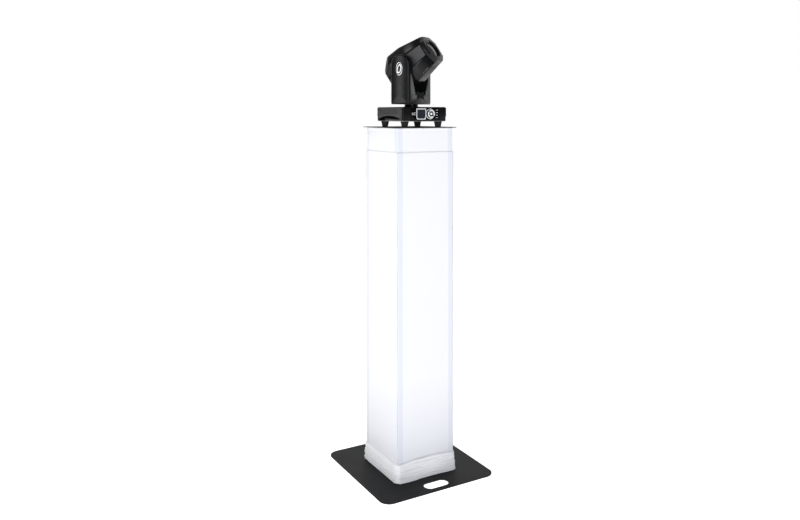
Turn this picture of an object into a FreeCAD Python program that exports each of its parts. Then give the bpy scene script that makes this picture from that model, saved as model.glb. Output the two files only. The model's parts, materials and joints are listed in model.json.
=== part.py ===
import FreeCAD, Part
import math
import os

# Height-adjustable lighting tower: base plate, telescopic four-post column in a stretch cover,
# top plate, and a moving-head light standing on it.
# Frame: +Z up, origin on the floor at the centre of the base plate's underside.
# -Y is the side with the hand slot and the light's control panel.

V = FreeCAD.Vector
UP = V(0, 0, 1)

# ---- base plate -------------------------------------------------------------
plate_size = 600.0
plate_thickness = 5.0
plate_corner_radius = 50.0
plate_edge_chamfer = 0.6
hand_slot_length = 125.0
hand_slot_width = 60.0
hand_slot_inset = 55.0           # plate's front edge to the slot's centre line

# ---- column -----------------------------------------------------------------
column_width = 308.0             # outside to outside of the outer posts
outer_tube = 30.0
outer_wall = 2.0
inner_tube = 24.0
inner_wall = 1.5
outer_post_top = 1520.0
collar_height = 8.0
collar_skirt = 30.0
inner_post_length = 700.0
post_foot_size = 60.0
post_foot_thickness = 6.0
slide_clearance = 0.2            # each side, between a tube and the plastic that guides it
fixed_clearance = 0.1            # each side, between plastic and the tube that it is pushed into
foot_bolt_radius = 4.0
foot_bolt_head_radius = 7.6
foot_bolt_head_height = 4.2
foot_bolt_pitch = 15.0           # bolt centre from the foot's free edges
countersink_gap = 0.3
glide_height = 12.0
glide_spigot = 25.0

ring_heights = {"brace_ring_mid": 760.0, "brace_ring_top": 1400.0}
ring_bar_height = 25.0
ring_bar_thickness = 6.0
ring_bar_inset = 3.0             # bar's face behind the posts' outer faces
ring_wrap = 3.0                  # plate that wraps the posts' inner faces
ring_screw_radius = 2.5
ring_screw_head_radius = 4.5
ring_screw_head_height = 3.0

clamp_height = 1462.0
clamp_nut_size = 16.0
clamp_nut_thickness = 8.0
clamp_screw_radius = 4.0
clamp_running_clearance = 0.05
clamp_tip_gap = 0.3
knob_radius = 14.0
knob_thickness = 16.0
knob_gap = 5.0                   # between the knob and its nut when clamped
knob_lobes = 6
knob_hollow_share = 0.3          # hollows between the lobes, of the knob's radius
knob_hollow_place = 1.12
knob_grip = 1.0                  # screw's end inside the knob

# ---- stretch cover ----------------------------------------------------------
cover_thickness = 1.0
cover_ease = 0.3                 # between the tubes and the cloth
cover_corner_radius = 4.0
cover_split_height = 1530.0      # where the cloth leaves the outer posts
cover_joint_gap = 0.5
bunch_height = 96.0
bunch_rolls = 7
bunch_proud_bottom = 15.0
bunch_proud_top = 5.0
bunch_corner_radius = 26.0
bunch_floor_gap = 0.5
bunch_edge_share = 0.32          # rounding of each roll, of its height
hem_height = 11.0
hem_thickness = 1.8

# ---- top plate --------------------------------------------------------------
platform_height = 1646.0         # top face of the top plate above the floor
top_plate_size = 333.0
top_plate_thickness = 3.0
top_plate_corner_radius = 3.0
top_screw_radius = 3.0
top_screw_head_radius = 5.0
top_screw_head_height = 2.4
top_screw_length = 12.0
head_block_height = 10.0

# ---- light: base ------------------------------------------------------------
light_offset = 12.0              # the light stands this far to +X of the column's axis
foot_height = 27.0
foot_top_radius = 19.0
foot_bottom_radius = 14.5
foot_spacing_x = 186.0
foot_spacing_y = 192.0
base_width = 246.0
base_depth = 256.0
base_height = 69.0               # pan and housing together
base_corner_chamfer = 9.0
base_top_chamfer = 3.0
base_wall = 3.0
pan_thickness = 3.0
pan_inset = 2.0
scoop_length = 210.0
scoop_height = 27.0
scoop_depth = 20.0
scoop_wall = 2.5
scoop_shoulder_share = 0.45      # height where the arch springs, of its full height
grip_panel_depth = 1.2
grip_panel_margin = 40.0         # grip panel's ends from the base's front and back
grip_panel_edge = 7.0            # from the scoop below and the top above
housing_screw_inset = 20.0
housing_screw_radius = 1.25
housing_screw_head_radius = 2.5
housing_screw_head_height = 1.4
housing_screw_length = 6.0
housing_screw_drop_share = 0.75  # screw rows' inset from top and bottom, of the inset from the ends
panel_width = 153.0
panel_height = 60.0
panel_thickness = 3.0
panel_setback = 1.0
panel_fit = 0.25
rear_panel_width = 176.0
display_x = -20.0
display_width = 50.0
display_height = 46.0
display_thickness = 4.0
display_setback = 0.3
panel_cut_depth = 9.0
dial_x = 30.0
dial_radius = 21.0
dial_height = 9.0
dial_gap = 1.5
dial_edge_share = 0.2
dial_cap = 1.0                   # solid face in front of the shaft's bore
encoder_end_gap = 2.0            # shaft's end behind the dial's face
encoder_radius = 3.0
encoder_length = 22.0
spin_clearance = 0.05
button_row_x = 63.0
led_pitch = 12.0
led_radius = 1.6
led_steps = (-1.5, -0.5, 0.5, 1.5)

socket_places = {"inlet": -56.0, "signal_in": 8.0, "signal_out": 50.0}
flange_thickness = 2.0
inlet_flange = (50.0, 27.0)
inlet_body = (28.0, 21.0, 24.0)  # width, height, depth behind the flange
inlet_recess = (24.0, 16.5, 18.0)
inlet_blades = {-7.0: -2.0, 0.0: 2.0, 7.0: -2.0}  # place across: height above the middle
inlet_blade = (2.0, 5.0, 6.0)    # thickness, height, setback of its tip
socket_flange = (26.0, 31.0)
socket_barrel_radius = 11.5
socket_mouth_radius = 8.6
socket_depth = 12.0
socket_back = 8.0                # barrel behind the mouth's floor
socket_insert_gap = 1.2
socket_poles = 3
socket_pole_circle = 4.0
socket_pin_radius = 1.2
socket_pin_setback = 5.0

supply_width = 79.0
supply_depth = 44.0
supply_height = 42.0
supply_gap = 11.0                # from the base's left side wall, above the scoop
supply_back_gap = 32.0           # from the rear face to the sockets' clear space
supply_lift = 3.0
board_half_width = 72.0
board_half_height = 26.0
board_thickness = 1.6
board_setback = 26.0             # board's front face behind the base's front face
board_chips = ((-20.0, 9.0, 3.0), (36.0, 7.5, 10.0))  # place across, half size, height

bearing_outer_radius = 36.0
bearing_height = 16.0
bearing_holder_wall = 4.0
shaft_radius = 25.0
shaft_bore_radius = 18.0
shaft_bottom_gap = 14.0          # shaft's lower end above the pan
neck_radius = 33.0
neck_gap = 0.8
neck_hole_radius = 30.0

pan_pulley_radius = 40.0
pan_pinion_radius = 8.0
pulley_width = 10.0
belt_thickness = 2.0
belt_gap = 0.3
pan_motor_x = 72.0
pan_motor_y = 58.0
motor_size = 42.0
pan_motor_height = 26.0
motor_shaft_radius = 2.5
motor_shaft_extra = 2.0          # shaft's end past its pulley
pan_belt_lift = 4.0              # pulleys above the pan shaft's lower end
belt_margin = 1.0                # pulley wider than its belt, each side

# ---- light: yoke ------------------------------------------------------------
pan_angle = 32.5                 # heading of the yoke at rest, from the control panel's side
neck_height = 13.0
yoke_half_width = 112.0
yoke_half_depth = 50.0
yoke_wall = 3.0
yoke_cavity_half_width = 82.0
yoke_floor_half_width = 55.0
bridge_height = 53.0
cavity_slope_height = 61.0
tilt_axis_height = 188.0         # above the yoke's underside
bridge_edge_chamfer = 9.0
cavity_slope_wall_share = 0.4    # how the walls thin on the slope from bridge to arm
cavity_floor_wall_share = 0.6
partition_rise = 2.0
pinion_hole_radius = 12.0
pinion_motor_gap = 1.0
cover_bulge_radius = 200.0
arm_cover_depth = 15.0
arm_cover_wall = 2.5
arm_cover_inset = 2.0
arm_cover_gap = 0.2
badge_half_width = 17.0
badge_half_height = 31.0
badge_thickness = 1.5
badge_drop = 20.0                # below the tilt axis
badge_reach = 10.0
tilt_motor_depth = 34.0
tilt_pulley_radius = 32.0
tilt_pinion_radius = 6.4
tilt_pulley_offset = 94.0        # pulley's inner face from the centre plane
tilt_bearing_outer_radius = 19.0
tilt_bearing_width = 5.0
trunnion_radius = 12.0
trunnion_bore_radius = 8.0
trunnion_reach = 108.0

# ---- light: head ------------------------------------------------------------
tilt_elevation = 33.5            # lens above the horizontal at rest
head_wall = 3.0
head_split_gap = 0.3
head_front = 124.0               # shells' front edge, along the lens axis from the tilt axis
bezel_depth = 19.0
bezel_gap = 0.3
lens_radius = 46.0
lens_thickness = 14.0
lens_setback = 8.0
bezel_lip = 4.0
bezel_edge = 2.0                 # lip's thickness at the lens
lens_disc_share = 0.5            # lens's flat disc and its dome, of its thickness
lens_dome_share = 0.4
lens_dome_root = 0.5
chassis_half_width = 50.0
chassis_thickness = 3.0
chassis_drop = 44.0              # plate's upper face below the tilt axis
chassis_front_gap = 12.0         # plate's front edge behind the shells' front edge
chassis_back = 40.0
cheek_half_depth = 26.0
wheel_radius = 34.0
wheel_thickness = 1.5
wheel_windows = 8
window_radius = 8.5
window_rim = 2.5
spindle_radius = 3.0
wheel_gap = 2.5                  # between a wheel and its bracket
bracket_half_width = 5.0
bracket_half_thickness = 1.0
bracket_top = 6.0
spindle_length = 6.0
colour_wheel_place = 32.0
gobo_wheel_place = 42.0
carriage_place = 62.0
carriage_thickness = 12.0
cell_radius = 30.0
cell_lens_radius = 20.0
cell_lug = 7.0
guide_rod_radius = 3.0
guide_rod_spread = 40.0
guide_rod_lift = 12.0            # rods above the chassis plate
guide_rod_extra = 8.0            # rods' back end behind the lens cell
rod_post_half_width = 6.0
rod_post_thickness = 3.0
cell_lens_thickness = 5.0
cell_lens_setback = 3.0
cell_lens_grip = 0.5
heatsink_back = -88.0
heatsink_front = -28.0
heatsink_half_width = 42.0
heatsink_half_height = 44.0
heatsink_lift = 2.0              # heatsink and fan above the lens axis
heatsink_base = 8.0
heatsink_fins = 11
fin_thickness = 2.5
fin_root = 0.5
lamp_radius = 16.0
lamp_thickness = 6.0
fan_radius = 38.0
fan_depth = 9.0
fan_hub_radius = 12.0
fan_blades = 7
fan_blade_root = 10.0
fan_blade_gap = 7.0              # blade tips inside the fan's opening
fan_blade_half_chord = 7.0
fan_blade_half_thickness = 1.0
fan_blade_pitch = 35.0
fan_blade_trim = 0.5
fan_front_gap = 2.0
fan_spindle_grip = 12.0
guard_rings = 4
guard_slot = 4.0
guard_bar = 3.0
guard_edge = 4.0

# Cross-sections of the head, each an octagon with its corners cut:
# place along the lens axis, half width, bottom, top, half width of the flat top and bottom,
# and how far down the upper and lower cuts reach.
head_sections = (
    {"place": -118.0, "half": 54.0, "low": -44.0, "high": 52.0, "flat": 36.0, "cut": 20.0},
    {"place": -83.0, "half": 66.0, "low": -68.0, "high": 92.0, "flat": 36.0, "cut": 34.0},
    {"place": -69.0, "half": 72.0, "low": -78.0, "high": 102.5, "flat": 37.0, "cut": 42.0},
    {"place": 4.0, "half": 75.0, "low": -94.0, "high": 103.0, "flat": 37.0, "cut": 57.0},
    {"place": 124.0, "half": 72.0, "low": -70.0, "high": 79.5, "flat": 34.0, "cut": 39.0},
    {"place": 143.0, "half": 71.0, "low": -66.0, "high": 70.0, "flat": 33.0, "cut": 30.0},
)

# ---- worked out -------------------------------------------------------------
post_centre = (column_width - outer_tube) / 2
collar_top = outer_post_top + collar_height
top_plate_under = platform_height - top_plate_thickness
inner_post_bottom = top_plate_under - inner_post_length
pan_under = platform_height + foot_height
housing_under = pan_under + pan_thickness
housing_top = pan_under + base_height
panel_middle = (housing_under + housing_top) / 2
yoke_under = housing_top + neck_height
bridge_top = yoke_under + bridge_height
tilt_axis = yoke_under + tilt_axis_height
shaft_bottom = pan_under + shaft_bottom_gap
tilt_pinion_height = yoke_under + yoke_wall + motor_size / 2 + pinion_motor_gap
wheel_offset = wheel_radius - window_radius - window_rim  # spindle's distance from the lens axis
guide_rod_drop = guide_rod_lift - chassis_drop
cut_clearance = 1.0              # how far a cutting shape reaches past what it cuts
beyond = 200.0                   # larger than the head in every direction
corners = {
    "front_left": (-1, -1),
    "front_right": (1, -1),
    "back_left": (-1, 1),
    "back_right": (1, 1),
}


# ---- helpers ----------------------------------------------------------------
def box(x, y, z):
    """A box from its low and high value along each axis."""
    return Part.makeBox(x[1] - x[0], y[1] - y[0], z[1] - z[0], V(x[0], y[0], z[0]))


def around(centre, half):
    """A low and high value either side of a centre."""
    return centre - half, centre + half


def cylinder(radius, start, axis, length):
    """A cylinder from its start point along an axis."""
    return Part.makeCylinder(radius, length, start, axis)


def prism(points, along):
    """A polygon pulled along a vector."""
    return Part.Face(Part.makePolygon(points + points[:1])).extrude(along)


def rounded_square(half, radius, low, high):
    """An upright block with rounded corners."""
    block = box(around(0, half), around(0, half), (low, high))
    upright = [e for e in block.Edges if abs(e.Length - (high - low)) < 1e-6 and e.tangentAt(0).z ** 2 > 0.9]
    return block.makeFillet(radius, upright)


def square_ring(outer_half, inner_half, low, high, radius):
    """An upright square sleeve; its inner corners are square."""
    return rounded_square(outer_half, radius, low, high).cut(
        box(around(0, inner_half), around(0, inner_half), (low - 1, high + 1))
    )


def countersunk_screw(place, axis, shank, head, head_height, length):
    """A countersunk screw: its flat face at the place, its shank along the axis."""
    cone = Part.makeCone(head, shank, head_height, place, axis)
    return cone.fuse(cylinder(shank, place, axis, length))


def belt(start, end, start_radius, end_radius, low, high):
    """A flat belt round two pulleys with upright axes."""

    def loop(extra):
        a = start_radius + extra
        b = end_radius + extra
        span = end.sub(start)
        lean = math.asin((a - b) / span.Length)
        heading = math.atan2(span.y, span.x)
        side = math.pi / 2 - lean
        points = []
        for angle in (heading + side, heading - side):
            out = V(math.cos(angle), math.sin(angle), 0)
            points.append((start + out * a, end + out * b))
        (p, q), (s, r) = points
        forward = V(math.cos(heading), math.sin(heading), 0)
        edges = [
            Part.LineSegment(p, q).toShape(),
            Part.Arc(q, end + forward * b, r).toShape(),
            Part.LineSegment(r, s).toShape(),
            Part.Arc(s, start - forward * a, p).toShape(),
        ]
        face = Part.Face(Part.Wire(edges))
        face.translate(UP * low)
        return face.extrude(UP * (high - low))

    return loop(belt_gap + belt_thickness).cut(loop(belt_gap))


def pan(shape):
    """Turn a yoke piece, modelled facing -Y, to the heading at rest."""
    shape.rotate(V(0, 0, 0), UP, pan_angle)
    return shape


def tilt(shape):
    """Place a head piece, modelled about the tilt axis with its lens towards -Y."""
    shape.rotate(V(0, 0, 0), V(1, 0, 0), -tilt_elevation)
    shape.translate(UP * tilt_axis)
    return pan(shape)


# ---- stand ------------------------------------------------------------------
def foot_bolt_places():
    """Each foot has two bolts, in the arms of its plate that the tube leaves free."""
    near = column_width / 2 - foot_bolt_pitch
    far = column_width / 2 - post_foot_size + foot_bolt_pitch
    return [(sx * x, sy * y) for sx, sy in corners.values() for x, y in ((near, far), (far, near))]


def make_base_plate():
    plate = rounded_square(plate_size / 2, plate_corner_radius, 0, plate_thickness)
    rims = [e for f in plate.Faces if abs(f.normalAt(0, 0).z) > 0.9 for e in f.Edges]
    plate = plate.makeChamfer(plate_edge_chamfer, rims)
    end = (hand_slot_length - hand_slot_width) / 2
    slot_y = -plate_size / 2 + hand_slot_inset
    slot = box(around(0, end), around(slot_y, hand_slot_width / 2), (-1, plate_thickness + 1))
    for x in (-end, end):
        slot = slot.fuse(cylinder(hand_slot_width / 2, V(x, slot_y, -1), UP, plate_thickness + 2))
    plate = plate.cut(slot.removeSplitter())
    for x, y in foot_bolt_places():
        hole = countersunk_screw(
            V(x, y, 0), UP, foot_bolt_radius + fixed_clearance, foot_bolt_head_radius + countersink_gap,
            foot_bolt_head_height + countersink_gap, plate_thickness + 1,
        )
        plate = plate.cut(hole)
    return plate


def ring_screws(name):
    """Place and direction of the eight screws that hold one brace ring to the posts."""
    height = ring_heights[name]
    face = column_width / 2 - outer_tube - ring_wrap
    found = []
    for sx, sy in corners.values():
        found.append((V(sx * face, sy * post_centre, height), V(sx, 0, 0)))
        found.append((V(sx * post_centre, sy * face, height), V(0, sy, 0)))
    return found


def ring_screw_holes():
    length = ring_wrap + outer_wall
    return [cylinder(ring_screw_radius, p, a, length) for name in ring_heights for p, a in ring_screws(name)]


def make_outer_post(sx, sy):
    """Square tube on a foot plate, with a welded clamp nut on its inner face."""
    foot_high = plate_thickness + post_foot_thickness
    half = outer_tube / 2
    centre = (sx * post_centre, sy * post_centre)
    tube = box(around(centre[0], half), around(centre[1], half), (foot_high, outer_post_top))
    bore = half - outer_wall
    tube = tube.cut(box(around(centre[0], bore), around(centre[1], bore), (foot_high, outer_post_top + 1)))
    near = column_width / 2
    far = near - post_foot_size
    foot = box(sorted((sx * near, sx * far)), sorted((sy * near, sy * far)), (plate_thickness, foot_high))
    for x, y in foot_bolt_places():
        foot = foot.cut(cylinder(foot_bolt_radius, V(x, y, plate_thickness - 1), UP, post_foot_thickness + 2))
    face = near - outer_tube
    nut_half = clamp_nut_size / 2
    nut = box(
        sorted((sx * face, sx * (face - clamp_nut_thickness))), around(centre[1], nut_half),
        around(clamp_height, nut_half),
    )
    start = V(sx * (face - clamp_nut_thickness - 1), centre[1], clamp_height)
    thread = cylinder(
        clamp_screw_radius + clamp_running_clearance, start, V(sx, 0, 0), clamp_nut_thickness + outer_wall + 2
    )
    post = tube.fuse([foot, nut]).removeSplitter().cut(thread)
    for hole in ring_screw_holes():
        post = post.cut(hole)
    return post


def make_post_collars():
    """Plastic guides pushed into the outer tubes, through which the inner tubes slide."""
    skirt_half = outer_tube / 2 - outer_wall - fixed_clearance
    hole_half = inner_tube / 2 + slide_clearance
    collars = []
    for sx, sy in corners.values():
        x = sx * post_centre
        y = sy * post_centre
        rim = box(around(x, outer_tube / 2), around(y, outer_tube / 2), (outer_post_top, collar_top))
        skirt = box(around(x, skirt_half), around(y, skirt_half), (outer_post_top - collar_skirt, collar_top))
        low = outer_post_top - collar_skirt - 1
        hole = box(around(x, hole_half), around(y, hole_half), (low, collar_top + 1))
        collars.append(rim.fuse(skirt).cut(hole))
    return Part.makeCompound(collars)


def make_brace_ring(name):
    """Flat-bar square that joins the four posts and wraps their inner faces."""
    height = ring_heights[name]
    span = around(height, ring_bar_height / 2)
    bar_outer = column_width / 2 - ring_bar_inset
    ring = box(around(0, bar_outer), around(0, bar_outer), span)
    bar_inner = bar_outer - ring_bar_thickness
    ring = ring.cut(box(around(0, bar_inner), around(0, bar_inner), span))
    near = column_width / 2
    far = near - outer_tube
    for sx, sy in corners.values():
        inner = far - ring_wrap
        wrap = box(sorted((sx * near, sx * inner)), sorted((sy * near, sy * inner)), span)
        post = box(sorted((sx * (near + 1), sx * far)), sorted((sy * (near + 1), sy * far)), span)
        ring = ring.fuse(wrap).cut(post)
    for hole in ring_screw_holes():
        ring = ring.cut(hole)
    return ring.removeSplitter()


def make_brace_screws():
    length = ring_wrap + outer_wall
    screws = []
    for name in ring_heights:
        for place, axis in ring_screws(name):
            shank = cylinder(ring_screw_radius, place, axis, length)
            head = cylinder(ring_screw_head_radius, place, axis * -1, ring_screw_head_height)
            screws.append(head.fuse(shank))
    return Part.makeCompound(screws)


def make_lock_knob(sx, sy):
    """Star knob on a screw that runs in the clamp nut and presses the inner tube."""
    axis = V(sx, 0, 0)
    y = sy * post_centre
    tip = post_centre - inner_tube / 2 - clamp_tip_gap
    nut_face = column_width / 2 - outer_tube - clamp_nut_thickness
    head = nut_face - knob_gap - knob_thickness
    knob = cylinder(knob_radius, V(sx * head, y, clamp_height), axis, knob_thickness)
    for turn in range(knob_lobes):
        angle = 2 * math.pi * turn / knob_lobes
        out = V(0, math.cos(angle), math.sin(angle)) * (knob_radius * knob_hollow_place)
        centre = V(sx * (head - 1), y, clamp_height) + out
        knob = knob.cut(cylinder(knob_radius * knob_hollow_share, centre, axis, knob_thickness + 2))
    start = head + knob_grip
    screw = cylinder(clamp_screw_radius, V(sx * start, y, clamp_height), axis, tip - start)
    back = V(sx * (head + knob_thickness), y, clamp_height)
    boss = cylinder(clamp_screw_radius * 2, back, axis, knob_gap / 2)
    return knob.fuse([screw, boss])


def make_cover_lower():
    """Sleeve over the outer posts, with the surplus cloth bunched in rolls at its foot."""
    inner = column_width / 2 + cover_ease
    outer = inner + cover_thickness
    low = plate_thickness + bunch_floor_gap
    cover = rounded_square(outer, cover_corner_radius, low, cover_split_height)
    pitch = bunch_height / bunch_rolls
    for roll in range(bunch_rolls):
        share = roll / (bunch_rolls - 1)
        half = outer + bunch_proud_bottom + (bunch_proud_top - bunch_proud_bottom) * share
        base = low + roll * pitch
        slab = rounded_square(half, bunch_corner_radius, base, base + pitch)
        rims = [e for f in slab.Faces if abs(f.normalAt(0, 0).z) > 0.9 for e in f.Edges]
        cover = cover.fuse(slab.makeFillet(pitch * bunch_edge_share, rims))
    hollow = box(around(0, inner), around(0, inner), (low - 1, cover_split_height + 1))
    return cover.cut(hollow)


def make_stand():
    nodes = {"base_plate": make_base_plate()}
    for name, (sx, sy) in corners.items():
        nodes["outer_post_" + name] = make_outer_post(sx, sy)
    bolt_length = plate_thickness + post_foot_thickness - countersink_gap
    nodes["foot_bolts"] = Part.makeCompound([
        countersunk_screw(V(x, y, countersink_gap), UP, foot_bolt_radius, foot_bolt_head_radius,
                          foot_bolt_head_height, bolt_length)
        for x, y in foot_bolt_places()
    ])
    nodes["post_collars"] = make_post_collars()
    for name in ring_heights:
        nodes[name] = make_brace_ring(name)
    nodes["brace_screws"] = make_brace_screws()
    nodes["cover_lower"] = make_cover_lower()
    for name, (sx, sy) in corners.items():
        nodes["lock_knob_" + name] = make_lock_knob(sx, sy)
    return nodes


# ---- platform ---------------------------------------------------------------
def make_top_plate():
    half = top_plate_size / 2
    plate = rounded_square(half, top_plate_corner_radius, top_plate_under, platform_height)
    for sx, sy in corners.values():
        place = V(sx * post_centre, sy * post_centre, platform_height)
        plate = plate.cut(countersunk_screw(
            place, UP * -1, top_screw_radius + fixed_clearance, top_screw_head_radius + countersink_gap,
            top_screw_head_height + countersink_gap, top_plate_thickness + 1,
        ))
    return plate


def make_inner_post(sx, sy):
    """Square tube with a threaded block welded in its top."""
    x = sx * post_centre
    y = sy * post_centre
    half = inner_tube / 2
    span = (inner_post_bottom, top_plate_under)
    bore = half - inner_wall
    tube = box(around(x, half), around(y, half), span)
    tube = tube.cut(box(around(x, bore), around(y, bore), (span[0] - 1, span[1] - head_block_height)))
    start = V(x, y, top_plate_under - head_block_height - 1)
    thread = cylinder(top_screw_radius, start, UP, head_block_height + 2)
    return tube.cut(thread)


def make_inner_glides():
    """Plastic ends that centre the inner tubes in the outer ones."""
    pad = outer_tube / 2 - outer_wall - slide_clearance
    spigot = inner_tube / 2 - inner_wall - fixed_clearance
    glides = []
    for sx, sy in corners.values():
        x = sx * post_centre
        y = sy * post_centre
        end = box(around(x, pad), around(y, pad), (inner_post_bottom - glide_height, inner_post_bottom))
        top = inner_post_bottom + glide_spigot
        plug = box(around(x, spigot), around(y, spigot), (inner_post_bottom, top))
        glides.append(end.fuse(plug))
    return Part.makeCompound(glides)


def make_cover_upper():
    """The cloth between the outer posts' tops and the top plate, with its hem."""
    inner = post_centre + inner_tube / 2 + cover_ease
    low = cover_split_height + cover_joint_gap
    high = top_plate_under - cover_joint_gap
    sleeve = square_ring(inner + cover_thickness, inner, low, high, cover_corner_radius)
    hem = square_ring(inner + hem_thickness, inner, high - hem_height, high, cover_corner_radius)
    return sleeve.fuse(hem)


def make_platform():
    nodes = {"top_plate": make_top_plate()}
    for name, (sx, sy) in corners.items():
        nodes["inner_post_" + name] = make_inner_post(sx, sy)
    nodes["inner_glides"] = make_inner_glides()
    nodes["top_screws"] = Part.makeCompound([
        countersunk_screw(V(sx * post_centre, sy * post_centre, platform_height - countersink_gap), UP * -1,
                          top_screw_radius, top_screw_head_radius, top_screw_head_height, top_screw_length)
        for sx, sy in corners.values()
    ])
    nodes["cover_upper"] = make_cover_upper()
    return nodes


# ---- light: base ------------------------------------------------------------
def base_outline(inset, low, high):
    """The base's plan, a rectangle with cut corners, between two heights."""
    x = base_width / 2 - inset
    y = base_depth / 2 - inset
    cut = base_corner_chamfer
    points = []
    for sx, sy in ((1, 1), (-1, 1), (-1, -1), (1, -1)):
        pair = [V(sx * x, sy * (y - cut), low), V(sx * (x - cut), sy * y, low)]
        points += pair if sx * sy > 0 else pair[::-1]
    return prism(points, UP * (high - low))


def scoop(side, grow):
    """The finger scoop along one lower side of the base, an arch seen from that side."""
    half = scoop_length / 2 + grow
    top = scoop_height + grow
    shoulder = scoop_shoulder_share * top
    low = pan_under - 1
    spring = pan_under + shoulder
    outer = side * (base_width / 2 + 1)
    arch = Part.Wire([
        Part.LineSegment(V(outer, -half, low), V(outer, half, low)).toShape(),
        Part.LineSegment(V(outer, half, low), V(outer, half, spring)).toShape(),
        Part.Arc(V(outer, half, spring), V(outer, 0, pan_under + top), V(outer, -half, spring)).toShape(),
        Part.LineSegment(V(outer, -half, spring), V(outer, -half, low)).toShape(),
    ])
    return Part.Face(arch).extrude(V(-side * (scoop_depth + 1 + grow), 0, 0))


def panel_opening(side, width):
    """The window in the front or rear wall that a panel fills."""
    y = side * base_depth / 2
    height = panel_height / 2
    return box(around(0, width / 2), around(y, base_wall + 1), around(panel_middle, height))


def housing_screw_places():
    """Two screws at each end of both sides."""
    span = base_depth / 2 - housing_screw_inset
    drop = base_height / 2 - housing_screw_inset * housing_screw_drop_share
    return [
        (V(side * base_width / 2, y, panel_middle + z), V(side, 0, 0))
        for side in (-1, 1) for y in (-span, span) for z in (-drop, drop)
    ]


def make_base_housing():
    shell = base_outline(0, housing_under, housing_top)
    rims = [e for f in shell.Faces if f.normalAt(0, 0).z > 0.9 for e in f.Edges]
    shell = shell.makeChamfer(base_top_chamfer, rims)
    hollow = base_outline(base_wall, housing_under - 1, housing_top - base_wall)
    for side in (-1, 1):
        hollow = hollow.cut(scoop(side, scoop_wall))
    shell = shell.cut(hollow)
    for side in (-1, 1):
        shell = shell.cut(scoop(side, 0))
    shell = shell.cut([panel_opening(-1, panel_width), panel_opening(1, rear_panel_width)])
    for side in (-1, 1):
        face = side * base_width / 2
        shell = shell.cut(box(
            sorted((face, face - side * grip_panel_depth)), around(0, base_depth / 2 - grip_panel_margin),
            (pan_under + scoop_height + grip_panel_edge, housing_top - grip_panel_edge),
        ))
    for place, axis in housing_screw_places():
        shell = shell.cut(cylinder(housing_screw_radius, place + axis, axis * -1, base_wall + 2))
    under = housing_top - base_wall
    holder = cylinder(
        bearing_outer_radius + bearing_holder_wall, V(0, 0, under - bearing_height), UP, bearing_height
    ).cut(cylinder(bearing_outer_radius, V(0, 0, under - bearing_height - 1), UP, bearing_height + 1))
    return shell.fuse(holder).cut(cylinder(neck_hole_radius, V(0, 0, under - 1), UP, base_wall + 2))


def make_base_pan():
    plate = base_outline(pan_inset, pan_under, housing_under)
    return plate.cut([scoop(-1, 0), scoop(1, 0)])


def make_fixture_feet():
    feet = []
    for sx, sy in corners.values():
        place = V(sx * foot_spacing_x / 2, sy * foot_spacing_y / 2, platform_height)
        feet.append(Part.makeCone(foot_bottom_radius, foot_top_radius, foot_height, place, UP))
    return Part.makeCompound(feet)


def panel_plate(side, width):
    """A panel that fills its window, a little behind the face of the base."""
    face = side * (base_depth / 2 - panel_setback)
    return box(
        around(0, width / 2 - panel_fit), sorted((face, face - side * panel_thickness)),
        around(panel_middle, panel_height / 2 - panel_fit),
    )


def make_control_panel():
    panel = panel_plate(-1, panel_width)
    face = -base_depth / 2
    window = box(around(display_x, display_width / 2), around(face, panel_cut_depth),
                 around(panel_middle, display_height / 2))
    hole = cylinder(encoder_radius + 1, V(dial_x, face - 1, panel_middle), V(0, 1, 0), panel_cut_depth)
    panel = panel.cut([window, hole])
    for step in led_steps:
        place = V(button_row_x, face - 1, panel_middle + step * led_pitch)
        panel = panel.cut(cylinder(led_radius, place, V(0, 1, 0), panel_cut_depth))
    return panel


def make_display():
    front = -base_depth / 2 + panel_setback + display_setback
    return box(
        around(display_x, display_width / 2 - panel_fit), (front, front + display_thickness),
        around(panel_middle, display_height / 2 - panel_fit),
    )


def make_encoder_shaft():
    face = -base_depth / 2 + panel_setback
    start = V(dial_x, face - dial_gap - dial_height + encoder_end_gap, panel_middle)
    return cylinder(encoder_radius, start, V(0, 1, 0), encoder_length)


def make_jog_dial():
    face = -base_depth / 2 + panel_setback
    start = V(dial_x, face - dial_gap, panel_middle)
    dial = cylinder(dial_radius, start, V(0, -1, 0), dial_height)
    rim = [e for e in dial.Edges if abs(e.BoundBox.YMin - (start.y - dial_height)) < 1e-6 and e.Closed]
    dial = dial.makeFillet(dial_height * dial_edge_share, rim[:1])
    bore = cylinder(encoder_radius + spin_clearance, start, V(0, -1, 0), dial_height - dial_cap)
    return dial.cut(bore)


def make_rear_panel():
    panel = panel_plate(1, rear_panel_width)
    middle = base_depth / 2
    panel = panel.cut(box(
        around(socket_places["inlet"], inlet_body[0] / 2 + panel_fit), around(middle, panel_cut_depth),
        around(panel_middle, inlet_body[1] / 2 + panel_fit),
    ))
    for name in ("signal_in", "signal_out"):
        place = V(socket_places[name], middle - panel_cut_depth, panel_middle)
        panel = panel.cut(cylinder(socket_barrel_radius + panel_fit, place, V(0, 1, 0), 2 * panel_cut_depth))
    return panel


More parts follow.
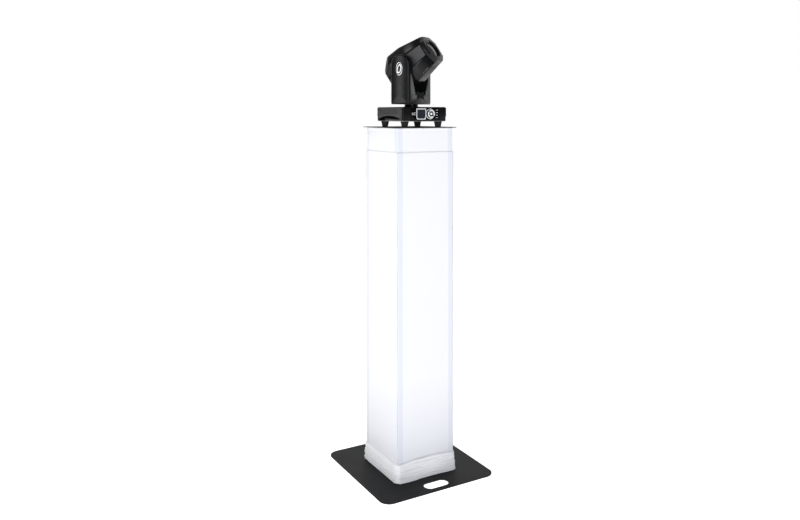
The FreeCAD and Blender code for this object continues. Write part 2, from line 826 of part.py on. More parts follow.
def make_power_inlet():
    """Three-blade appliance inlet with its fixing flange."""
    x = socket_places["inlet"]
    face = base_depth / 2 - panel_setback
    front = face + flange_thickness
    width, height, depth = inlet_body
    body = box(around(x, width / 2), (face - depth, face), around(panel_middle, height / 2))
    flange = box(around(x, inlet_flange[0] / 2), (face, front), around(panel_middle, inlet_flange[1] / 2))
    recess = box(
        around(x, inlet_recess[0] / 2), (front - inlet_recess[2], front + 1),
        around(panel_middle, inlet_recess[1] / 2),
    )
    inlet = body.fuse(flange).removeSplitter().cut(recess)
    for offset, lift in inlet_blades.items():
        inlet = inlet.fuse(box(
            around(x + offset, inlet_blade[0] / 2), (front - inlet_recess[2] - 1, front - inlet_blade[2]),
            around(panel_middle + lift, inlet_blade[1] / 2),
        ))
    return inlet


def make_xlr_sockets():
    """Round three-pole sockets: one with pins for the signal in, one with an insert for the signal out."""
    face = base_depth / 2 - panel_setback
    front = face + flange_thickness
    sockets = []
    for name in ("signal_in", "signal_out"):
        centre = V(socket_places[name], front, panel_middle)
        flange = box(
            around(centre.x, socket_flange[0] / 2), (face, front), around(panel_middle, socket_flange[1] / 2)
        )
        barrel = cylinder(socket_barrel_radius, centre, V(0, -1, 0), socket_depth + socket_back)
        socket = flange.fuse(barrel)
        socket = socket.cut(cylinder(socket_mouth_radius, centre + V(0, 1, 0), V(0, -1, 0), socket_depth + 1))
        if name == "signal_out":
            insert = cylinder(
                socket_mouth_radius - socket_insert_gap, centre - V(0, 1, 0), V(0, -1, 0), socket_depth
            )
            socket = socket.fuse(insert)
        else:
            for pole in range(socket_poles):
                angle = math.pi / 2 + 2 * math.pi * pole / socket_poles
                spot = centre + V(math.cos(angle), 0, math.sin(angle)) * socket_pole_circle
                reach = socket_depth + 1 - socket_pin_setback
                socket = socket.fuse(cylinder(
                    socket_pin_radius, spot - V(0, socket_pin_setback, 0), V(0, -1, 0), reach
                ))
        sockets.append(socket)
    return Part.makeCompound(sockets)


def make_housing_screws():
    screws = []
    for place, axis in housing_screw_places():
        head = cylinder(housing_screw_head_radius, place, axis, housing_screw_head_height)
        shank = cylinder(housing_screw_radius, place, axis * -1, housing_screw_length)
        screws.append(head.fuse(shank))
    return Part.makeCompound(screws)


def make_power_supply():
    """Closed supply box in the base's left rear quarter."""
    left = -base_width / 2 + supply_gap + scoop_depth
    back = base_depth / 2 - supply_back_gap
    low = housing_under + supply_lift
    return box((left, left + supply_width), (back - supply_depth, back), (low, low + supply_height))


def make_control_board():
    """Circuit board behind the control panel, with a processor and a relay on its back."""
    front = -base_depth / 2 + board_setback
    back = front + board_thickness
    board = box(around(0, board_half_width), (front, back), around(panel_middle, board_half_height))
    chips = [
        box(around(x, half), (back, back + height), around(panel_middle, half))
        for x, half, height in board_chips
    ]
    return board.fuse(chips)


def pulley_band():
    """Height band of the pan belt, just above the shaft's lower end."""
    low = shaft_bottom + pan_belt_lift
    return low, low + pulley_width


def make_pan_motor():
    """Stepping motor hung under the top of the base, its shaft downwards."""
    top = housing_top - base_wall
    half = motor_size / 2
    body = box(around(pan_motor_x, half), around(pan_motor_y, half), (top - pan_motor_height, top))
    low = pulley_band()[0] - motor_shaft_extra
    return body.fuse(cylinder(motor_shaft_radius, V(pan_motor_x, pan_motor_y, low), UP, top - low))


def make_pan_motor_pulley():
    low, high = pulley_band()
    wheel = cylinder(pan_pinion_radius, V(pan_motor_x, pan_motor_y, low), UP, high - low)
    start = V(pan_motor_x, pan_motor_y, low - 1)
    bore = cylinder(motor_shaft_radius + spin_clearance, start, UP, high - low + 2)
    return wheel.cut(bore)


def make_pan_belt():
    low, high = pulley_band()
    return belt(V(0, 0, 0), V(pan_motor_x, pan_motor_y, 0), pan_pulley_radius, pan_pinion_radius,
                low + belt_margin, high - belt_margin)


def make_pan_bearing():
    under = housing_top - base_wall
    ring = cylinder(bearing_outer_radius, V(0, 0, under - bearing_height), UP, bearing_height)
    start = V(0, 0, under - bearing_height - 1)
    return ring.cut(cylinder(shaft_radius + spin_clearance, start, UP, bearing_height + 2))


def make_light_base():
    return {
        "fixture_feet": make_fixture_feet(),
        "base_pan": make_base_pan(),
        "base_housing": make_base_housing(),
        "control_panel": make_control_panel(),
        "display": make_display(),
        "encoder_shaft": make_encoder_shaft(),
        "jog_dial": make_jog_dial(),
        "rear_panel": make_rear_panel(),
        "power_inlet": make_power_inlet(),
        "xlr_sockets": make_xlr_sockets(),
        "housing_screws": make_housing_screws(),
        "power_supply": make_power_supply(),
        "control_board": make_control_board(),
        "pan_motor": make_pan_motor(),
        "pan_motor_pulley": make_pan_motor_pulley(),
        "pan_belt": make_pan_belt(),
        "pan_bearing": make_pan_bearing(),
    }


# ---- light: yoke ------------------------------------------------------------
def yoke_front(inset, side_reach):
    """The U seen from the front, pulled right through the yoke's depth."""
    low = yoke_under + inset
    floor = bridge_top - inset
    slope = bridge_top + cavity_slope_height - inset * cavity_slope_wall_share
    wall = yoke_cavity_half_width + inset
    foot = yoke_floor_half_width + inset * cavity_floor_wall_share
    high = tilt_axis + yoke_half_depth + 5
    right = [(side_reach, low), (side_reach, high), (wall, high), (wall, slope), (foot, floor)]
    outline = right + [(-x, z) for x, z in reversed(right)]
    depth = yoke_half_depth + 5
    return prism([V(x, -depth, z) for x, z in outline], V(0, 2 * depth, 0))


def arch(half_depth, low, start, end):
    """An upright tongue with a round top about the tilt axis, between two places across the yoke."""
    tongue = box((start, end), around(0, half_depth), (low, tilt_axis))
    return tongue.fuse(cylinder(half_depth, V(start, 0, tilt_axis), V(1, 0, 0), end - start)).removeSplitter()


def bridge_wedge(side, half_length, cut, drop):
    """A three-cornered bar along one upper edge of the bridge."""
    edge = side * yoke_half_depth
    corner = [V(-half_length, edge, bridge_top), V(-half_length, edge - side * cut, bridge_top),
              V(-half_length, edge, bridge_top - drop)]
    return prism(corner, V(2 * half_length, 0, 0))


def make_yoke_frame():
    """Hollow U casting with its neck and the pan shaft; the arms are open outwards."""
    reach = yoke_half_width + 1
    body = yoke_front(0, yoke_half_width)
    body = body.common(arch(yoke_half_depth, yoke_under, -yoke_half_width, yoke_half_width))
    hollow = yoke_front(yoke_wall, reach)
    hollow = hollow.common(arch(yoke_half_depth - yoke_wall, yoke_under + yoke_wall, -reach, reach))
    floor_half = yoke_floor_half_width + cut_clearance
    floor = box(around(0, floor_half), around(0, 2 * yoke_half_depth), (yoke_under, bridge_top))
    for side in (-1, 1):
        cut = bridge_edge_chamfer
        body = body.cut(bridge_wedge(side, yoke_floor_half_width, cut, cut))
        under = bridge_wedge(side, reach, cut + 2 * yoke_wall, cut + 2 * yoke_wall)
        hollow = hollow.cut(under.common(floor))
    frame = body.cut(hollow)
    partition = box(
        (yoke_cavity_half_width, yoke_cavity_half_width + yoke_wall), around(0, yoke_half_depth - yoke_wall),
        (yoke_under + yoke_wall, bridge_top + partition_rise),
    )
    neck = cylinder(neck_radius, V(0, 0, housing_top + neck_gap), UP, neck_height - neck_gap)
    shaft = cylinder(shaft_radius, V(0, 0, shaft_bottom), UP, yoke_under - shaft_bottom)
    frame = frame.fuse([partition, neck, shaft])
    bore_length = yoke_under + yoke_wall - shaft_bottom + 2 * cut_clearance
    frame = frame.cut(cylinder(shaft_bore_radius, V(0, 0, shaft_bottom - cut_clearance), UP, bore_length))
    frame = frame.cut(cylinder(tilt_bearing_outer_radius, V(-reach, 0, tilt_axis), V(1, 0, 0), 2 * reach))
    start = V(yoke_cavity_half_width - cut_clearance, 0, tilt_pinion_height)
    return frame.cut(cylinder(pinion_hole_radius, start, V(1, 0, 0), yoke_wall + 2 * cut_clearance))


def make_arm_cover(side):
    """Bulged cap with an arched top that closes one arm."""
    start = yoke_half_width + arm_cover_gap
    end = yoke_half_width + arm_cover_depth
    half = yoke_half_depth - arm_cover_inset
    low = yoke_under + arm_cover_inset
    height = tilt_axis + half + 10 - low

    def bulged(inset, from_x):
        drum = cylinder(cover_bulge_radius - inset, V(end - cover_bulge_radius, 0, low - 5), UP, height + 10)
        return arch(half - inset, low + inset, from_x, end + 1).common(drum)

    cap = bulged(0, start).cut(bulged(arm_cover_wall, start - 1))
    if side < 0:
        cap = cap.mirror(V(0, 0, 0), V(1, 0, 0))
    return cap


def make_arm_badges():
    """Plain oval plates on the arm covers."""
    end = yoke_half_width + arm_cover_depth
    centre = V(end - cover_bulge_radius, 0, tilt_axis - badge_drop)
    low = centre - UP * (badge_half_height + 2)
    height = 2 * badge_half_height + 4
    skin = cylinder(cover_bulge_radius + badge_thickness, low, UP, height)
    skin = skin.cut(cylinder(cover_bulge_radius, low, UP, height))
    oval = Part.Ellipse(V(0, 0, 0), badge_half_height, badge_half_width).toShape()
    face = Part.Face(Part.Wire([oval]))
    face.rotate(V(0, 0, 0), V(0, 1, 0), 90)
    face.translate(V(yoke_half_width, 0, tilt_axis - badge_drop))
    badge = face.extrude(V(arm_cover_depth + badge_reach, 0, 0)).common(skin)
    return Part.makeCompound([badge, badge.mirror(V(0, 0, 0), V(1, 0, 0))])


def make_tilt_motor():
    """Stepping motor in the bridge, its shaft into the right arm."""
    z = tilt_pinion_height
    face = yoke_cavity_half_width
    half = motor_size / 2
    body = box((face - tilt_motor_depth, face), around(0, half), around(z, half))
    reach = tilt_pulley_offset + pulley_width + motor_shaft_extra - face
    return body.fuse(cylinder(motor_shaft_radius, V(face, 0, z), V(1, 0, 0), reach))


def across(radius, z, start, length, bore):
    """A wheel or ring on an axis across the yoke."""
    wheel = cylinder(radius, V(start, 0, z), V(1, 0, 0), length)
    return wheel.cut(cylinder(bore, V(start - 1, 0, z), V(1, 0, 0), length + 2))


def make_tilt_motor_pulley():
    return across(
        tilt_pinion_radius, tilt_pinion_height, tilt_pulley_offset, pulley_width,
        motor_shaft_radius + spin_clearance,
    )


def make_tilt_belt():
    span = V(tilt_axis - tilt_pinion_height, 0, 0)
    edge = pulley_width - belt_margin
    loop = belt(V(0, 0, 0), span, tilt_pulley_radius, tilt_pinion_radius, belt_margin, edge)
    loop.rotate(V(0, 0, 0), V(0, 1, 0), 90)
    loop.translate(V(tilt_pulley_offset, 0, tilt_axis))
    return loop


def make_tilt_bearings():
    """Ball races pressed into the arms' inner walls."""
    rings = []
    for start in (yoke_cavity_half_width, -yoke_cavity_half_width - tilt_bearing_width):
        rings.append(across(
            tilt_bearing_outer_radius, tilt_axis, start, tilt_bearing_width, trunnion_radius + spin_clearance
        ))
    return Part.makeCompound(rings)


def make_pan_pulley():
    low, high = pulley_band()
    wheel = cylinder(pan_pulley_radius, V(0, 0, low), UP, high - low)
    return wheel.cut(cylinder(shaft_radius, V(0, 0, low - 1), UP, high - low + 2))


def make_yoke():
    nodes = {
        "yoke_frame": make_yoke_frame(),
        "pan_pulley": make_pan_pulley(),
        "arm_cover_left": make_arm_cover(-1),
        "arm_cover_right": make_arm_cover(1),
        "arm_badges": make_arm_badges(),
        "tilt_motor": make_tilt_motor(),
        "tilt_motor_pulley": make_tilt_motor_pulley(),
        "tilt_belt": make_tilt_belt(),
        "tilt_bearings": make_tilt_bearings(),
    }
    return {name: pan(shape) for name, shape in nodes.items()}


# ---- light: head ------------------------------------------------------------
# Modelled about the tilt axis: X across, Z up, and the lens axis along -Y.
def section_wire(section, inset):
    """One octagonal cross-section of the head, drawn in by a wall's thickness."""
    half = section["half"] - inset
    low = section["low"] + inset
    high = section["high"] - inset
    flat = section["flat"] - inset * 0.5
    cut = section["cut"]
    y = -section["place"]
    right = [V(flat, y, high), V(half, y, high - cut), V(half, y, low + cut), V(flat, y, low)]
    left = [V(-p.x, p.y, p.z) for p in reversed(right)]
    return Part.makePolygon(right + left + right[:1])


def head_solid(inset, first, last):
    """The head's outer form between two of its cross-sections."""
    wires = [section_wire(section, inset) for section in head_sections[first:last + 1]]
    return Part.makeLoft(wires, True, True)


def fan_guard_slots(back):
    """Ring-shaped slots in the back wall in front of the fan, crossed by two bars."""
    start = V(0, back - 1, 0)
    along = V(0, 1, 0)
    span = (back - 2 * cut_clearance, back + head_wall + 2 * cut_clearance)
    bars = [
        box(around(0, guard_bar / 2), span, around(0, fan_radius)),
        box(around(0, fan_radius), span, around(0, guard_bar / 2)),
    ]
    slots = []
    for ring in range(guard_rings):
        outer = fan_radius - guard_edge - ring * (guard_slot + guard_bar)
        disc = cylinder(outer, start, along, head_wall + 2)
        slots.append(disc.cut([cylinder(outer - guard_slot, start, along, head_wall + 2)] + bars))
    return slots


def make_head_shells():
    """Upper and lower shells, split on the plane through the tilt and lens axes."""
    outer = head_solid(0, 0, 4)
    inner = head_solid(head_wall, 0, 4)
    back = -head_sections[0]["place"] - head_wall
    inner = inner.common(box(around(0, beyond), (-head_front - cut_clearance, back), around(0, beyond)))
    shell = outer.cut(inner)
    shell = shell.cut(cylinder(trunnion_radius + 1, V(-beyond, 0, 0), V(1, 0, 0), 2 * beyond))
    shell = shell.cut(fan_guard_slots(back))
    gap = head_split_gap / 2
    top = shell.common(box(around(0, beyond), around(0, beyond), (gap, beyond)))
    bottom = shell.common(box(around(0, beyond), around(0, beyond), (-beyond, -gap)))
    return top, bottom


def make_front_bezel():
    bezel = head_solid(0, 4, 5)
    front = -head_sections[5]["place"]
    bezel = bezel.cut(box(around(0, beyond), (-head_front - bezel_gap, 0), around(0, beyond)))
    seat = cylinder(lens_radius + bezel_gap, V(0, front + lens_setback, 0), V(0, 1, 0), bezel_depth)
    mouth = cylinder(lens_radius - bezel_lip, V(0, front - 1, 0), V(0, 1, 0), bezel_depth)
    wide = lens_radius + bezel_lip
    narrow = lens_radius - bezel_lip
    flare = Part.makeCone(wide, narrow, lens_setback - bezel_edge, V(0, front, 0), V(0, 1, 0))
    return bezel.cut(seat).cut(mouth).cut(flare)


def make_front_lens():
    """Plano-convex lens behind the bezel's lip, bulging forwards through its mouth."""
    back = -head_sections[5]["place"] + lens_setback + bezel_gap
    disc = cylinder(lens_radius, V(0, back, 0), V(0, 1, 0), lens_thickness * lens_disc_share)
    rise = lens_thickness * lens_dome_share
    mouth = lens_radius - bezel_lip - 1
    ball_radius = (mouth ** 2 + rise ** 2) / (2 * rise)
    ball = Part.makeSphere(ball_radius, V(0, back - rise + ball_radius, 0))
    dome = ball.common(cylinder(mouth, V(0, back - rise - 1, 0), V(0, 1, 0), rise + 1 + lens_dome_root))
    return disc.fuse(dome)


def make_head_chassis():
    """Plate that carries the optics, with two trunnions that turn in the arms."""
    front = -head_front + chassis_front_gap
    under = -chassis_drop - chassis_thickness
    root = -chassis_drop - cut_clearance
    pieces = [box(around(0, chassis_half_width), (front, chassis_back), (under, -chassis_drop))]
    rod_length = -front - carriage_place + guide_rod_extra
    for sign in (-1, 1):
        near = sign * (chassis_half_width - chassis_thickness)
        cheek = box(
            sorted((near, sign * chassis_half_width)), around(0, cheek_half_depth), (under, cheek_half_depth)
        )
        start = V(near, 0, 0)
        reach = trunnion_reach - abs(near)
        trunnion = cylinder(trunnion_radius, start, V(sign, 0, 0), reach)
        bore = cylinder(trunnion_bore_radius, start - V(sign, 0, 0), V(sign, 0, 0), reach + 2)
        x = sign * guide_rod_spread
        pieces += [cheek.fuse(trunnion).cut(bore)]
        pieces += [cylinder(guide_rod_radius, V(x, front, guide_rod_drop), V(0, 1, 0), rod_length)]
        for y in (front, front + rod_length - rod_post_thickness):
            top = guide_rod_drop + rod_post_half_width
            pieces.append(box(around(x, rod_post_half_width), (y, y + rod_post_thickness), (root, top)))
    for place, side in ((colour_wheel_place, -1), (gobo_wheel_place, 1)):
        x = side * wheel_offset
        y = -place + wheel_gap + bracket_half_thickness
        across_y = around(y, bracket_half_thickness)
        pieces.append(box(around(x, bracket_half_width), across_y, (root, bracket_top)))
        pieces.append(cylinder(spindle_radius, V(x, y, 0), V(0, -1, 0), spindle_length))
    return pieces[0].fuse(pieces[1:])


def make_tilt_pulley():
    return across(tilt_pulley_radius, 0, tilt_pulley_offset, pulley_width, trunnion_radius)


def filter_wheel(place, side):
    """Thin disc with a ring of round windows, on its spindle."""
    centre = V(side * wheel_offset, -place, 0)
    disc = cylinder(wheel_radius, centre, V(0, -1, 0), wheel_thickness)
    before = centre + V(0, 1, 0)
    cuts = [cylinder(spindle_radius + spin_clearance, before, V(0, -1, 0), wheel_thickness + 2)]
    for turn in range(wheel_windows):
        angle = 2 * math.pi * turn / wheel_windows
        spot = before + V(math.cos(angle), 0, math.sin(angle)) * wheel_offset
        cuts.append(cylinder(window_radius, spot, V(0, -1, 0), wheel_thickness + 2))
    return disc.cut(cuts)


def make_focus_carriage():
    """Lens cell that slides on the two guide rods."""
    near = -carriage_place
    before = near + 1
    through = carriage_thickness + 2
    cell = cylinder(cell_radius, V(0, near, 0), V(0, -1, 0), carriage_thickness)
    lug_half = guide_rod_spread + cell_lug
    lug_y = (near - carriage_thickness, near)
    cell = cell.fuse(box(around(0, lug_half), lug_y, around(guide_rod_drop, cell_lug)))
    cell = cell.cut(cylinder(cell_lens_radius, V(0, before, 0), V(0, -1, 0), through))
    for sign in (-1, 1):
        place = V(sign * guide_rod_spread, before, guide_rod_drop)
        cell = cell.cut(cylinder(guide_rod_radius + spin_clearance, place, V(0, -1, 0), through))
    lens_front = V(0, near - cell_lens_setback, 0)
    lens = cylinder(cell_lens_radius + cell_lens_grip, lens_front, V(0, -1, 0), cell_lens_thickness)
    return cell.fuse(lens)


def make_led_heatsink():
    """Finned block with the lamp's board on its front, and a spindle for the fan on its back."""
    front = -heatsink_front
    back = -heatsink_back
    span_z = around(heatsink_lift, heatsink_half_height)
    root = front + heatsink_base
    first = -heatsink_half_width + fin_thickness / 2
    pitch = -2 * first / (heatsink_fins - 1)
    pieces = []
    for index in range(heatsink_fins):
        pieces.append(box(around(first + index * pitch, fin_thickness / 2), (root - fin_root, back), span_z))
    pieces.append(cylinder(lamp_radius, V(0, front, 0), V(0, -1, 0), lamp_thickness))
    start = V(0, back - fan_spindle_grip, heatsink_lift)
    pieces.append(cylinder(spindle_radius, start, V(0, 1, 0), fan_spindle_grip + fan_depth))
    return box(around(0, heatsink_half_width), (front, root), span_z).fuse(pieces)


def make_cooling_fan():
    """Hub with swept blades."""
    start = -heatsink_back + fan_front_gap
    hub = cylinder(fan_hub_radius, V(0, start, heatsink_lift), V(0, 1, 0), fan_depth)
    blades = []
    for turn in range(fan_blades):
        blade = box(
            (fan_blade_root, fan_radius - fan_blade_gap), around(0, fan_blade_half_thickness),
            around(0, fan_blade_half_chord),
        )
        blade.rotate(V(0, 0, 0), V(1, 0, 0), fan_blade_pitch)
        band = box((0, fan_radius), around(0, fan_depth / 2 - fan_blade_trim), around(0, fan_radius))
        blade = blade.common(band)
        blade.rotate(V(0, 0, 0), V(0, 1, 0), 360 * turn / fan_blades)
        blade.translate(V(0, start + fan_depth / 2, heatsink_lift))
        blades.append(blade)
    bore_start = V(0, start - cut_clearance, heatsink_lift)
    bore = cylinder(spindle_radius + spin_clearance, bore_start, V(0, 1, 0), fan_depth - cut_clearance)
    return hub.fuse(blades).cut(bore)


def make_head():
    top, bottom = make_head_shells()
    nodes = {
        "head_shell_top": top,
        "head_shell_bottom": bottom,
        "front_bezel": make_front_bezel(),
        "front_lens": make_front_lens(),
        "head_chassis": make_head_chassis(),
        "tilt_pulley": make_tilt_pulley(),
        "led_heatsink": make_led_heatsink(),
        "cooling_fan": make_cooling_fan(),
        "colour_wheel": filter_wheel(colour_wheel_place, -1),
        "gobo_wheel": filter_wheel(gobo_wheel_place, 1),
        "focus_carriage": make_focus_carriage(),
    }
    return {name: tilt(shape) for name, shape in nodes.items()}


# ---- write ------------------------------------------------------------------
def main():
    os.makedirs("parts", exist_ok=True)
    nodes = {**make_stand(), **make_platform()}
    for make in (make_light_base, make_yoke, make_head):
        for name, shape in make().items():
            shape.translate(V(light_offset, 0, 0))
            nodes[name] = shape
    for name, shape in nodes.items():
        if not shape.isValid():
            print("not valid:", name)
        shape.exportStep(os.path.join("parts", name + ".step"))


main()
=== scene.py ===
import json
import math
import bpy
import bmesh
from mathutils import Matrix, Vector, noise


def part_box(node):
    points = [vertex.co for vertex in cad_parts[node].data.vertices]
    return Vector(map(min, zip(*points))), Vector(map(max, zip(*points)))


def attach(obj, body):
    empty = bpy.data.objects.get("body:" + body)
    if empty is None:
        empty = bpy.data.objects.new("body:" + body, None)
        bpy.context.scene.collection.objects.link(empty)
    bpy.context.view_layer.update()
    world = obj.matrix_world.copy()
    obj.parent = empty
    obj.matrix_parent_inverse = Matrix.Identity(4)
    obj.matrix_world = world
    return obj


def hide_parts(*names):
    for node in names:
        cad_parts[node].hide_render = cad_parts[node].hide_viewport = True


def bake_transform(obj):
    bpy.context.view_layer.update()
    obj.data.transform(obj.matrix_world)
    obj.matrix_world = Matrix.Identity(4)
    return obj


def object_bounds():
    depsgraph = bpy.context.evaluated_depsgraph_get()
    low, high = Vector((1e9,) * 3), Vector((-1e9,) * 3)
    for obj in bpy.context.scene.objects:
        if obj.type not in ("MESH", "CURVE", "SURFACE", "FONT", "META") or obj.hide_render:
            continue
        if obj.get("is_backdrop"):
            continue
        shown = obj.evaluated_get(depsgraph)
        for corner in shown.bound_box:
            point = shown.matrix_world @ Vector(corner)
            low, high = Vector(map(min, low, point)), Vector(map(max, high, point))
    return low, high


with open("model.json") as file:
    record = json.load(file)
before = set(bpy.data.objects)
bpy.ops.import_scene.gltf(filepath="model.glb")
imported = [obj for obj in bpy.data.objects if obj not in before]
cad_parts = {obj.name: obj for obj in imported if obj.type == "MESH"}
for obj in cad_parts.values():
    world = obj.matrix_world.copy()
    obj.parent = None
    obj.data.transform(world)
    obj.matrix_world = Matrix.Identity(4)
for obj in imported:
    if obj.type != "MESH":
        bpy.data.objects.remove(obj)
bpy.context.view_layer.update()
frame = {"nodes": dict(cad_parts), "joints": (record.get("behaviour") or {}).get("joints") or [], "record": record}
mm = 0.001


def jointNamed(name):
    return next(j for j in frame["joints"] if j["name"] == name)


def low(node, axis):
    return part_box(node)[0][axis]


def high(node, axis):
    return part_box(node)[1][axis]


# Places worked out from the frame
tiltPivot = Vector(jointNamed("tilt")["pos_m"])
acrossYoke = Vector(jointNamed("tilt")["axis"]).normalized()
lensAxis = Vector(jointNamed("focus_slide")["axis"]).normalized()
up = Vector((0, 0, 1))


def spaceFrom(x, y, z, origin):
    return Matrix.Translation(origin) @ Matrix((x, y, z)).transposed().to_4x4()


lightPlace = Vector((tiltPivot.x, tiltPivot.y, 0))
baseSpace = Matrix.Translation(lightPlace)
yokeSpace = spaceFrom(acrossYoke, up.cross(acrossYoke), up, lightPlace)  # x across, -y forwards, z up
headSpace = spaceFrom(acrossYoke, -lensAxis, acrossYoke.cross(-lensAxis), tiltPivot)  # -y along the lens axis
panelFace = low("control_panel", 1)
panelMiddle = (low("control_panel", 2) + high("control_panel", 2)) / 2


# Shader helpers
class Wire:
    def __init__(self, finish, socket):
        self.finish, self.socket = finish, socket

    def __add__(self, other):
        return self.finish.math("ADD", self, other)

    def __radd__(self, other):
        return self.finish.math("ADD", other, self)

    def __sub__(self, other):
        return self.finish.math("SUBTRACT", self, other)

    def __rsub__(self, other):
        return self.finish.math("SUBTRACT", other, self)

    def __mul__(self, other):
        return self.finish.math("MULTIPLY", self, other)

    def __rmul__(self, other):
        return self.finish.math("MULTIPLY", other, self)

    def __truediv__(self, other):
        return self.finish.math("DIVIDE", self, other)


class Finish:
    def __init__(self, name, fixed):
        self.material = bpy.data.materials.new(name)
        self.material.use_nodes = True
        self.tree = self.material.node_tree
        self.shader = next(n for n in self.tree.nodes if n.type == "BSDF_PRINCIPLED")
        for socket, value in fixed.items():
            self.shader.inputs[socket].default_value = value

    def node(self, kind, settings=None, inputs=None, output=0):
        made = self.tree.nodes.new("ShaderNode" + kind)
        for key, value in (settings or {}).items():
            setattr(made, key, value)
        for key, value in (inputs or {}).items():
            self.feed(made.inputs[key], value)
        return Wire(self, made.outputs[output])

    def feed(self, socket, value):
        if isinstance(value, Wire):
            self.tree.links.new(value.socket, socket)
        else:
            socket.default_value = value

    def math(self, operation, *values):
        return self.node("Math", {"operation": operation}, dict(enumerate(values)))

    def clamp(self, value):
        return self.node("Math", {"operation": "ADD", "use_clamp": True}, {0: value, 1: 0.0})

    def mix(self, factor, first, second):
        return self.node("Mix", {"data_type": "RGBA"}, {0: factor, 6: first, 7: second}, 2)

    def place(self, kind="Object"):
        return self.node("TexCoord", output={"Object": 3, "UV": 2}[kind])

    def noise(self, scale, detail=2.0, where=None, roughness=0.5):
        inputs = {"Vector": where or self.place(), "Scale": scale, "Detail": detail, "Roughness": roughness}
        return self.node("TexNoise", {}, inputs)

    def parts(self, where):
        return [self.node("SeparateXYZ", {}, {0: where}, n) for n in range(3)]

    def bump(self, height, distance, strength=1.0, under=None):
        inputs = {"Height": height, "Distance": distance, "Strength": strength}
        if under:
            inputs["Normal"] = under
        return self.node("Bump", {}, inputs)

    def surface(self, **links):
        names = {"colour": "Base Color", "roughness": "Roughness", "metallic": "Metallic",
                 "coat": "Coat Weight", "glow": "Emission Color", "normal": "Normal"}
        for key, value in links.items():
            self.feed(self.shader.inputs[names[key]], value)
        return self.material


def rgb(r, g, b):
    return (r, g, b, 1.0)


def powderCoat(name, dark, pale, rough):
    f = Finish(name, {"Specular IOR Level": 0.14})
    speckle = f.noise(1500.0, 3.0)  # orange peel of the baked powder
    cloud = f.noise(9.0, 4.0)
    scuff = f.clamp((f.noise(60.0, 6.0, roughness=0.7) - 0.63) * 9.0)
    colour = f.mix(cloud, dark, pale)
    colour = f.mix(scuff * 0.35, colour, rgb(0.09, 0.09, 0.095))
    return f.surface(colour=colour, roughness=rough + cloud * 0.10 - scuff * 0.12,
                     normal=f.bump(speckle, 0.00012, 0.55))


def mouldedPlastic(name, dark, pale, rough, grain=0.00007):
    f = Finish(name, {"Specular IOR Level": 0.24})
    fine = f.noise(2600.0, 2.0)
    sparkle = f.node("TexVoronoi", {"feature": "F1"}, {"Vector": f.place(), "Scale": 1500.0})
    cloud = f.noise(24.0, 5.0, roughness=0.6)
    rub = f.clamp((f.noise(75.0, 5.0, roughness=0.65) - 0.60) * 6.0)
    colour = f.mix(cloud, dark, pale)
    height = fine * 0.5 + sparkle * 0.5
    return f.surface(colour=colour, roughness=rough + cloud * 0.10 - rub * 0.09,
                     normal=f.bump(height, grain, 0.7))


def glossPlastic(name, colour, rough):
    f = Finish(name, {"Coat Roughness": 0.04, "Specular IOR Level": 0.12})
    smear = f.noise(45.0, 5.0, roughness=0.6)
    dust = f.clamp((f.noise(900.0, 2.0) - 0.69) * 12.0)
    tone = f.mix(dust * 0.02, colour, rgb(0.22, 0.22, 0.23))
    return f.surface(colour=tone, roughness=rough + smear * 0.08, coat=0.10 - smear * 0.05,
                     normal=f.bump(f.noise(130.0, 1.0), 0.00003, 0.5))


def knitCloth(name):
    f = Finish(name, {"Sheen Weight": 0.35, "Sheen Roughness": 0.5, "Specular IOR Level": 0.2})
    x, y, z = f.parts(f.place())
    across, along = f.parts(f.place("UV"))[:2]
    nearCorner = f.math("MINIMUM", f.math("ABSOLUTE", x), f.math("ABSOLUTE", y))
    overPost = f.clamp((nearCorner - coverCloth["postInner"]) / coverCloth["postBlur"])
    creaseShade = f.node("Attribute", {"attribute_name": "creaseShade"}, {}, 2)
    bunched = f.node("Attribute", {"attribute_name": "bunched"}, {}, 2)
    leftFace = f.clamp((coverCloth["leftFrom"] - x) * 900.0) * f.clamp(y * -20.0)
    shade = overPost * (1.0 - bunched) * (1.0 - leftFace * 0.9)  # painted shade over the posts, partly the dark posts showing through one layer; kept weak on the left face near the front corner, where that face is lit
    # painted shade: the cloth gets darker towards the foot, above the bunched folds, standing in for shade from
    # the black plate
    footShadeMask = f.clamp((coverCloth["darkBelow"] - z) * 2.2) * (1.0 - bunched)
    wale = f.math("SINE", across * (2 * math.pi / coverCloth["wale"]))
    course = f.math("SINE", along * (2 * math.pi / coverCloth["course"]) + wale * 0.8)
    knit = wale * 0.5 + course * 0.5
    slub = f.noise(3.0, 5.0, roughness=0.55)
    cloud = f.noise(260.0, 3.0)
    colour = f.mix(shade * 0.9, coverCloth["colour"], coverCloth["postShadeColour"])
    colour = f.mix(f.clamp(slub - 0.35) * 0.35, colour, coverCloth["cloudColour"])
    colour = f.mix(footShadeMask * coverCloth["footShade"], colour, coverCloth["footShadeColour"])
    # painted light: the bunched folds are made paler, standing in for the lit upper faces of the rolls
    colour = f.mix(bunched, colour, coverCloth["foldLitColour"])
    # painted shade: the creases between the rolls are darkened in colour
    colour = f.mix(creaseShade, colour, coverCloth["creaseShadeColour"])
    colour = f.mix(f.clamp(knit * -0.5) * 0.10, colour, rgb(0.70, 0.71, 0.75))
    normal = f.bump(slub, 0.0016, 0.35, f.bump(knit + cloud * 0.4, 0.00010, 0.45))
    return f.surface(colour=colour, roughness=0.82 + cloud * 0.12, normal=normal)


def bareMetal(name, colour, rough, stretch, lines=900.0):
    f = Finish(name, {})
    where = f.node("Mapping", {}, {"Vector": f.place(), "Scale": stretch})
    brushed = f.noise(lines, 4.0, where)
    stain = f.noise(22.0, 5.0, roughness=0.65)
    tone = f.mix(stain, colour, tuple(c * 0.72 for c in colour[:3]) + (1.0,))
    return f.surface(colour=tone, metallic=1.0, roughness=rough + brushed * 0.16 + stain * 0.08,
                     normal=f.bump(brushed, 0.00004, 0.6))


